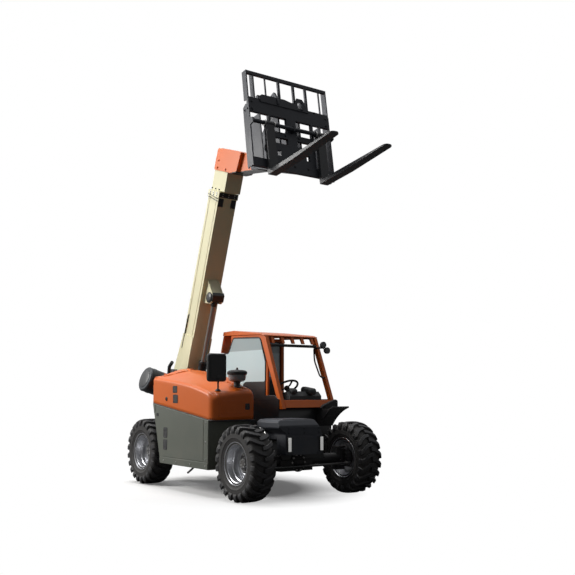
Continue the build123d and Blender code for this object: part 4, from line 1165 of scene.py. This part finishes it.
class TELEHANDLER_OT_seat(TelehandlerPiece, bpy.types.Operator):
    """A suspension seat: stitched vinyl cushions on a pedestal"""

    bl_idname = "telehandler.seat"
    bl_label = "Seat"

    def build(self, sizes):
        eased("seat_pedestal", "black_plastic", 0.012)
        base = pebble((0.455, 0.440, 0.078), 0.036, 6)
        base = moved(base, at((-1.220, 0.470, 0.950)) @ spun(radians(-3), "Y"))
        rest = pebble((0.075, 0.440, 0.360), 0.036, 6)
        recline = spun(radians(-10), "Y")
        rest = moved(rest, at((-1.432, 0.470, 1.212)) @ recline)
        for name, shape, cap in (("seat_cushion", base, 0.016), ("seat_back", rest, 0.014)):
            cushion = piece(name, shape, "chassis", "seat_vinyl", crease=80,
                            replaces=["seat"] if name == "seat_cushion" else [])
            stuffed(cushion, cap)
        back_shell = pebble((0.018, 0.400, 0.340), 0.008)
        tray = joined(block((-1.460, 0.255, 0.9005), (-0.990, 0.685, 0.925), 0.008, 4),
                      moved(back_shell, at((-1.486, 0.470, 1.218)) @ recline))
        piece("seat_shell", tray, "chassis", "black_plastic", crease=40)
        path = looped(oblong(-1.220, 0.470, 0.452, 0.437), 0.04, 6)
        path = np.column_stack([path, 0.950 + (path[:, 0] + 1.22) * 0.05])
        piece("seat_piping", swept(path, circle(0.0038, 8), closed=True), "chassis", "hose_rubber", crease=50)
        path = mm("-1380,262,960 -1330,300,1004 -1310,470,1010 -1330,640,1004 -1380,678,960")
        belt = swept(rounded(path, 0.05, 6), looped(oblong(0, 0, 0.046, 0.003), 0.001, 2))
        buckle = block((-1.335, 0.430, 1.004), (-1.282, 0.500, 1.024), 0.004)
        piece("seat_belt", belt, "chassis", "hose_rubber", crease=50)
        piece("seat_buckle", buckle, "chassis", "black_plastic", crease=40)
        ends = (0.225, 0.715)
        arms = [block((-1.390, y - 0.022, 1.115), (-1.110, y + 0.022, 1.150), 0.014, 4) for y in ends]
        arms += [pipe([(-1.430, y, 1.05), (-1.390, y, 1.120), (-1.33, y, 1.128)], 0.010, 0.03) for y in ends]
        piece("seat_arms", joined(*arms), "chassis", "black_plastic", crease=45)


def stuffed(cushion, cap):
    """Blows a cushion up with cloth under pressure, and keeps every point within a distance of where it was."""
    for other in bpy.context.selected_objects:
        other.select_set(False)
    bpy.context.view_layer.objects.active = cushion
    cushion.select_set(True)
    remesh = cushion.modifiers.new("Even mesh", "REMESH")
    remesh.mode, remesh.voxel_size = "VOXEL", 0.008
    bpy.ops.object.modifier_apply(modifier=remesh.name)
    before, after = np.zeros((2, len(cushion.data.vertices) * 3))
    cushion.data.vertices.foreach_get("co", before)
    cloth = cushion.modifiers.new("Stuffing", "CLOTH")
    cloth.settings.use_pressure, cloth.settings.uniform_pressure_force = True, 4.0
    cloth.settings.effector_weights.gravity = 0.0
    cloth.settings.quality = 5
    for step in range(1, 21):
        bpy.context.scene.frame_set(step)
    depsgraph = bpy.context.evaluated_depsgraph_get()
    cushion.evaluated_get(depsgraph).data.vertices.foreach_get("co", after)
    cushion.modifiers.remove(cloth)
    shift = (after - before).reshape(-1, 3)
    length = np.linalg.norm(shift, axis=1, keepdims=True)
    shift *= np.minimum(1.0, cap / np.maximum(length, 1e-9))
    cushion.data.vertices.foreach_set("co", (before.reshape(-1, 3) + shift).ravel())
    cushion.data.update()
    bpy.context.scene.frame_set(1)
    smooth = cushion.modifiers.new("Smooth", "SUBSURF")
    smooth.levels = smooth.render_levels = 1


class TELEHANDLER_OT_controls(TelehandlerPiece, bpy.types.Operator):
    """The dashboard, its dials and switches, the steering wheel and the levers"""

    bl_idname = "telehandler.controls"
    bl_label = "Controls"

    def build(self, sizes):
        eased("dashboard", "grey_plastic", 0.016)
        slope = (0.13, 0, 1.0)                           # square to the dashboard's top
        pods = [moved(pebble((0.105, 0.230, 0.085), 0.035, 6), at((-0.598, 0.580, 1.205), slope)),
                moved(pebble((0.095, 0.120, 0.070), 0.035, 6), at((-0.598, 0.335, 1.200), slope))]
        piece("dash_pods", joined(*pods), "chassis", "grey_plastic", crease=50)
        column = at((-0.805, 0.388, 1.250), (-0.55, 0, 0.835))
        rim_path = np.column_stack([circle(0.150, 96), np.zeros(96)])
        wheel = [swept(rim_path, circle(sizes.rim_grip / 2), closed=True)]
        spoke = swept(rounded(mm("20,0,-12 70,0,-22 120,0,-8 148,0,0"), 0.03, 5),
                      looped(oblong(0, 0, 0.010, 0.026), 0.004, 4))
        wheel += [moved(spoke, spun(pi / 2 + k * tau / 3)) for k in (0, 1, -1)]
        wheel.append(turned(mm("0,12 22,12 30,6 34,-6 34,-30 0,-30"), 40))
        piece("steering_rim", moved(joined(*wheel), column), "chassis", "black_plastic", crease=40,
              replaces=["steering_wheel"])
        boot = turned(mm("21,-20 24,-50 21,-60 30,-85 26,-95 38,-120 34,-130 46,-155 50,-175 0,-175"), 32)
        piece("steering_boot", moved(boot, column), "chassis", "hose_rubber", crease=50)
        bezel = turned(mm("0,0 26,0 27,4 31,5 34,3 34,-4 0,-4"), 40)
        face = turned(mm("0,1.2 26.2,1.2 26.2,-0.5 0,-0.5"), 40)
        needle = pebble((0.003, 0.020, 0.0012), 0.0006, 2)
        dials = [at((-0.645, y, 1.1905), slope) for y in (0.49, 0.58, 0.67)]
        piece("dial_bezels", repeated(bezel, dials), "chassis", "black_plastic", crease=35)
        piece("dial_faces", repeated(face, dials), "chassis", "dial_face")
        reading = np.array(Matrix.Translation((0.004, 0.004, 0.002)) @ Matrix.Rotation(0.7, 4, "Z"))
        piece("dial_needles", repeated(needle, [dial @ reading for dial in dials]), "chassis", "red_lens")
        keys = [at((-0.650 + 0.001 * k, 0.285 + 0.030 * k, 1.188), slope) for k in range(5)]
        keys = repeated(pebble((0.036, 0.022, 0.014), 0.004), keys)
        piece("switches", keys, "chassis", "black_plastic", crease=40)
        boot = turned(mm("46,0 40,14 43,20 30,34 33,40 16,56 8,60 8,130 0,130"), 24)
        knob = moved(pebble((0.046, 0.040, 0.095), 0.018, 5), at((0.004, 0, 0.155)) @ spun(0.15, "Y"))
        short = joined(turned(mm("20,0 6,20 6,90 0,90"), 16),
                       moved(pebble((0.028, 0.028, 0.034), 0.013, 4), at((0, 0, 0.105))))
        pedestal = block((-1.180, 0.120, 0.700), (-0.930, 0.225, 1.020), 0.02, 4)
        piece("lever_box", pedestal, "chassis", "grey_plastic", crease=40)
        levers = [moved(joined(boot, knob), at((-1.000, 0.172, 1.018)))]
        levers += [moved(short, at((-1.080, y, 1.018), size=0.9)) for y in (0.150, 0.195)]
        piece("boom_lever", joined(*levers), "chassis", "black_plastic", crease=45)


class TELEHANDLER_OT_fittings(TelehandlerPiece, bpy.types.Operator):
    """The mirror, the pre-cleaner, the silencer and every lamp"""

    bl_idname = "telehandler.fittings"
    bl_label = "Fittings"

    def build(self, sizes):
        self.mirror()
        self.precleaner()
        self.muffler()
        self.lamps()

    def mirror(self):
        """Rounded plates one behind the other, on a bent stalk that stands on the hood."""
        centre = (-0.755, 1.475)
        shell = plate(CROSS, oblong(*centre, 0.256, 0.330), -0.6415, -0.6000, 0.012, 0.045)
        crown = plate(CROSS, oblong(*centre, 0.190, 0.260), -0.6010, -0.5975, 0.003, 0.035)
        stalk = pipe(mm("-624,-730,1165 -624,-730,1300 -600,-738,1330"), 0.010, 0.02)
        foot = turned(mm("0,22 18,20 24,12 32,4 34,0 0,0"), 24)
        foot = moved(foot, at((-0.624, -0.730, 1.206)))
        clamp = block((-0.6120, -0.765, 1.335), (-0.5950, -0.715, 1.385))
        glass = plate(CROSS, oblong(*centre, 0.232, 0.306), -0.6435, -0.6405, 0.001, 0.036)
        shell = joined(shell, crown, clamp)
        piece("mirror_shell", shell, "hood", "black_plastic", crease=45, replaces=["mirror"])
        piece("mirror_stalk", joined(stalk, foot), "hood", "dark_metal", crease=50)
        piece("mirror_pane", glass, "hood", "mirror_glass")

    def precleaner(self):
        """Turned profiles one above the other, and a ring of fins round the cap."""
        place = at((-0.655, -0.447, 1.20))
        neck = turned(mm("0,35 50,35 50,52 40,58 38,100 45,104 45,112 78,118 84,124 0,130"), 40)
        bowl = turned(mm("0,120 80,121 94,128 102,142 107,196 0,200"), 56)
        cap = mm("0,280 11,280 13,276 13,258 22,254 70,251 102,243 116.5,232 117.5,206 112,194 0,192")
        out = Matrix.Translation((0.1168, 0, 0.216))
        places = [np.array(Matrix.Rotation(k * tau / 36, 4, "Z") @ out) for k in range(36)]
        fins = repeated(pebble((0.006, 0.012, 0.026), 0.002, 2), places)
        piece("precleaner_neck", moved(neck, place), "hood", "hose_rubber", crease=40,
              replaces=["air_precleaner"])
        piece("precleaner_bowl", moved(bowl, place), "hood", "smoky_plastic", crease=40)
        cap = joined(turned(cap, 64), fins)
        piece("precleaner_cap", moved(cap, place), "hood", "black_plastic", crease=40)

    def muffler(self):
        """Turned bands and a lid along the silencer's own axis, and a ring on its tail pipe."""
        eased("muffler", "dark_metal", 0.006)
        eased("prop_shaft", "dark_metal", 0.003)
        start, end = np.array([-2.405, -0.800, 1.366]), np.array([-2.405, -0.420, 1.244])
        place, length = at(start, end - start), np.linalg.norm(end - start)
        band = turned(mm("164.5,-18 168.5,-17 169,-12 169,12 168.5,17 164.5,18"))
        seam = turned(mm("163,-5 167.2,-2 167.2,2 163,5"))
        bands = [moved(shape, at((0, 0, z))) for shape, inset in ((band, 0.095), (seam, 0.020))
                 for z in (inset, length - inset)]
        lid = turned(mm("0,-6 110,-6 118,-3 122,2 0,2"), 64)
        piece("muffler_bands", moved(joined(*bands), place), "chassis", "dark_metal", crease=35)
        piece("muffler_lid", moved(lid, place), "chassis", "black_paint", crease=35)
        ring = turned(mm("24.5,0 30,2 30,12 24.5,14"), 32)
        ring = moved(ring, at((-2.386, -0.450, 1.420), (0.1, 0, 1)))
        piece("tail_pipe_ring", ring, "chassis", "dark_metal", crease=35)

    def lamps(self):
        """Two turned work lamps on bent brackets, and pairs of rounded boxes at both ends."""
        places = [at((-0.600, y, z), (1, 0, 0)) for y, z in ((0.790, 1.786), (0.852, 1.716))]
        shell = turned(mm("0,0 20,0 32,8 40,22 41.5,46 41.5,54.5 36,54.8 35.5,48 0,48"), 48)
        pane = turned(mm("0,52 20,51.5 35.5,49 35.5,47 0,47"), 48)
        brackets = [pipe(mm("-752,850,1752 -640,850,1752 -602,850,1728"), 0.008, 0.03),
                    pipe(mm("-700,850,1752 -640,800,1765 -600,792,1780"), 0.008, 0.03),
                    block((-0.766, 0.832, 1.738), (-0.744, 0.874, 1.766), 0.003, 3)]
        shells = joined(repeated(shell, places), *brackets)
        piece("work_lamp_shells", shells, "chassis", "black_plastic", crease=40, replaces=["work_lights"])
        piece("work_lamp_lenses", repeated(pane, places), "chassis", "smoky_plastic", crease=40)
        front, tail = (-0.337, 0.109), (-0.270, 0.270)
        for name, finish, ys, x, half, z, edge, steps in (
                ("front_lamp_shells", "black_plastic", front, (0.2405, 0.262), 0.022, (0.535, 0.695), 0.006, 4),
                ("front_lamp_lenses", "lamp_lens", front, (0.250, 0.2715), 0.0185, (0.539, 0.691), 0.006, 4),
                ("tail_lamp_shells", "black_plastic", tail, (-2.729, -2.719), 0.060, (0.700, 0.830), 0.004, 3),
                ("tail_lamp_reds", "red_lens", tail, (-2.739, -2.725), 0.052, (0.755, 0.822), 0.006, 4),
                ("tail_lamp_ambers", "amber_lens", tail, (-2.739, -2.725), 0.052, (0.708, 0.750), 0.006, 4)):
            pair = [block((x[0], y - half, z[0]), (x[1], y + half, z[1]), edge, steps) for y in ys]
            replaces = ["front_lamps"] if name == "front_lamp_shells" else []
            piece(name, joined(*pair), "chassis", finish, crease=40, replaces=replaces)


class TELEHANDLER_OT_chassis(TelehandlerPiece, bpy.types.Operator):
    """The frame, tower, counterweight, tank, nose and fender, with their bolts and pipes"""

    bl_idname = "telehandler.chassis"
    bl_label = "Chassis"

    def build(self, sizes):
        for node, finish, width in (
                ("chassis_frame", "black_paint", 0.006), ("boom_tower", "black_paint", 0.005),
                ("counterweight", "black_paint", 0.014), ("fuel_tank", "black_plastic", 0.018),
                ("front_nose", "charcoal_paint", 0.012), ("left_fender", "black_plastic", 0.005)):
            eased(node, finish, width)
        filler = turned(mm("0,30 28,30 34,24 34,6 44,0 0,0"), 28)
        piece("fuel_filler", moved(filler, at((-1.58, 0.70, 0.6385))), "chassis", "black_plastic", crease=40)
        lid = block((-0.196, -0.372, 0.8845), (0.180, 0.028, 0.8900), 0.003)
        lower = mm("-300,500 78,500 78,700 -300,700")
        upper = mm("-350,722 112,722 100,806 -340,806")
        faces = [plate(CROSS, outline, 0.2395, front, 0.0015, 0.012)
                 for outline, front in ((lower, 0.2440), (upper, 0.2430))]
        piece("nose_panels", joined(lid, *faces), "chassis", "charcoal_paint", crease=32)
        bolts = mm("-330,740 -330,790 90,740 90,790 -120,790 -120,740 -285,515 63,515 -285,685 63,685")
        bolts = [at((0.2430, y, z), (1, 0, 0)) for y, z in bolts]
        piece("nose_bolts", repeated(bolt(0.014, 0.007), bolts), "chassis", "dark_metal")
        lines = (mm("20,-420,440 40,-440,520 40,-458,640 -20,-470,740 -180,-450,800 -280,-400,800"),
                 mm("-10,-400,440 0,-430,520 0,-452,620 -60,-462,700 -190,-440,760 -280,-390,760"))
        lines = joined(*(pipe(line, 0.010, 0.08) for line in lines))
        piece("nose_lines", lines, "chassis", "zinc_plate", crease=50)
        flank = mm("-2580,740 -2420,740 -2280,740 -2580,1020 -2440,1100")
        tower = [at((x, BOOM_Y + s * 0.205, z), (0, s, 0)) for s in SIDES for x, z in flank]
        tower += [at((-2.7205, y, z), (-1, 0, 0)) for y in (-0.20, -0.07, 0.07, 0.20) for z in (0.60, 0.86)]
        piece("frame_bolts", repeated(bolt(0.026, 0.014), tower), "chassis", "dark_metal")
        cap = turned(mm("0,10 40,10 46,4 76,4 80,0 80,-3 0,-3"), 48)
        caps = repeated(cap, [at((-2.55, BOOM_Y + s * 0.220, 1.420), (0, s, 0)) for s in SIDES])
        piece("tower_pin_caps", caps, "chassis", "dark_metal", crease=32)


class TELEHANDLER_OT_stage(bpy.types.Operator):
    """The camera, the lamps, the pale floor and the white surround"""

    bl_idname = "telehandler.stage"
    bl_label = "Stage"

    def execute(self, context):
        scene, stage = context.scene, context.scene.telehandler_stage
        camera = bpy.data.objects.new("Camera", bpy.data.cameras.new("Camera"))
        camera.data.lens, camera.data.sensor_width = stage.lens, 36.0
        camera.data.clip_end = 200.0
        camera.location = spot(*stage.camera_place)
        level = cos(stage.rise)
        view = Vector((-cos(stage.heading) * level, sin(stage.heading) * level, sin(stage.rise)))
        camera.rotation_euler = view.to_track_quat("-Z", "Y").to_euler()
        scene.collection.objects.link(camera)
        scene.camera = camera
        scene.view_settings.view_transform = "Standard"
        middle = spot(-1.0, 0.0, 1.2)
        lamp("Side lamp", (-6.0, -6.6, 5.2), middle, stage.side_light, 3.2, (1.0, 0.985, 0.96))
        lamp("Top lamp", (-3.0, -0.8, 9.0), middle, stage.top_light, 4.5, (1.0, 1.0, 1.0))
        self.surround(scene, stage.room_light)
        self.floor()
        return {"FINISHED"}

    def surround(self, scene, strength):
        """The world: white to the camera and through glass, paler on one side in gloss, faint as a light."""
        scene.world = bpy.data.worlds.new("Surround")
        shader = Shader("Surround", scene.world)
        path = shader.add("ShaderNodeLightPath")
        aim = shader.add("ShaderNodeSeparateXYZ", None, {0: shader.place.out("Generated")})
        bright_side = (0.22 - 0.30 * aim.out("X") + 0.10 * aim.out("Y") + 0.45 * aim.out("Z")).held()
        glossy = path.out("Is Glossy Ray") * bright_side
        seen = path.out("Is Camera Ray") + path.out("Is Transmission Ray") + glossy
        plain = shader.add("ShaderNodeBackground", None, {"Color": (1, 1, 1, 1), "Strength": strength})
        white = shader.add("ShaderNodeBackground", None, {"Color": (1, 1, 1, 1), "Strength": 1.0})
        mixed = shader.add("ShaderNodeMixShader", None, {0: seen.held(), 1: plain, 2: white})
        shader.add("ShaderNodeOutputWorld", None, {"Surface": mixed})

    def floor(self):
        """A flat square on the ground, far larger than the machine."""
        reach = [-30.0, 30.0]
        x, y = np.meshgrid(reach, reach, indexing="ij")
        piece("floor", grid(np.stack([x, y, np.zeros((2, 2))], axis=-1)), None, "floor_grey")


def lamp(name, place, target, power, size, colour):
    """A square lamp that faces a point."""
    light = bpy.data.lights.new(name, "AREA")
    light.energy, light.size, light.color = power, size, colour
    obj = bpy.data.objects.new(name, light)
    obj.location = spot(*place)
    obj.rotation_euler = (Vector(target) - obj.location).to_track_quat("-Z", "Y").to_euler()
    bpy.context.scene.collection.objects.link(obj)


GROUPS = {"telehandler_sizes": TelehandlerSizes, "telehandler_colours": TelehandlerColours,
          "telehandler_stage": TelehandlerStage}
OPERATORS = (TELEHANDLER_OT_stage, TELEHANDLER_OT_tyres, TELEHANDLER_OT_rims, TELEHANDLER_OT_axles,
             TELEHANDLER_OT_chassis, TELEHANDLER_OT_engine_bay, TELEHANDLER_OT_hood, TELEHANDLER_OT_boom,
             TELEHANDLER_OT_lift_cylinder, TELEHANDLER_OT_carriage, TELEHANDLER_OT_cab, TELEHANDLER_OT_seat,
             TELEHANDLER_OT_controls, TELEHANDLER_OT_fittings)


class TELEHANDLER_PT_panel(bpy.types.Panel):
    """Sizes, colours and the build buttons"""

    bl_idname = "TELEHANDLER_PT_panel"
    bl_label = "Telehandler"
    bl_space_type = "VIEW_3D"
    bl_region_type = "UI"
    bl_category = "Telehandler"

    def draw(self, context):
        for found in OPERATORS:
            self.layout.operator(found.bl_idname)
        for group in GROUPS:
            box = self.layout.box()
            settings = getattr(context.scene, group)
            for name in settings.bl_rna.properties.keys():
                if name not in ("rna_type", "name"):
                    box.prop(settings, name)


CLASSES = (*GROUPS.values(), *OPERATORS, TELEHANDLER_PT_panel)


def register():
    """Registers the classes and puts their settings on the scene."""
    for found in CLASSES:
        bpy.utils.register_class(found)
    for name, group in GROUPS.items():
        setattr(bpy.types.Scene, name, bpy.props.PointerProperty(type=group))


def unregister():
    """Takes the settings and the classes away again."""
    for name in GROUPS:
        delattr(bpy.types.Scene, name)
    for found in reversed(CLASSES):
        bpy.utils.unregister_class(found)


def main():
    register()
    for found in OPERATORS:
        group, name = found.bl_idname.split(".")
        getattr(getattr(bpy.ops, group), name)()


if __name__ == "__main__":
    main()
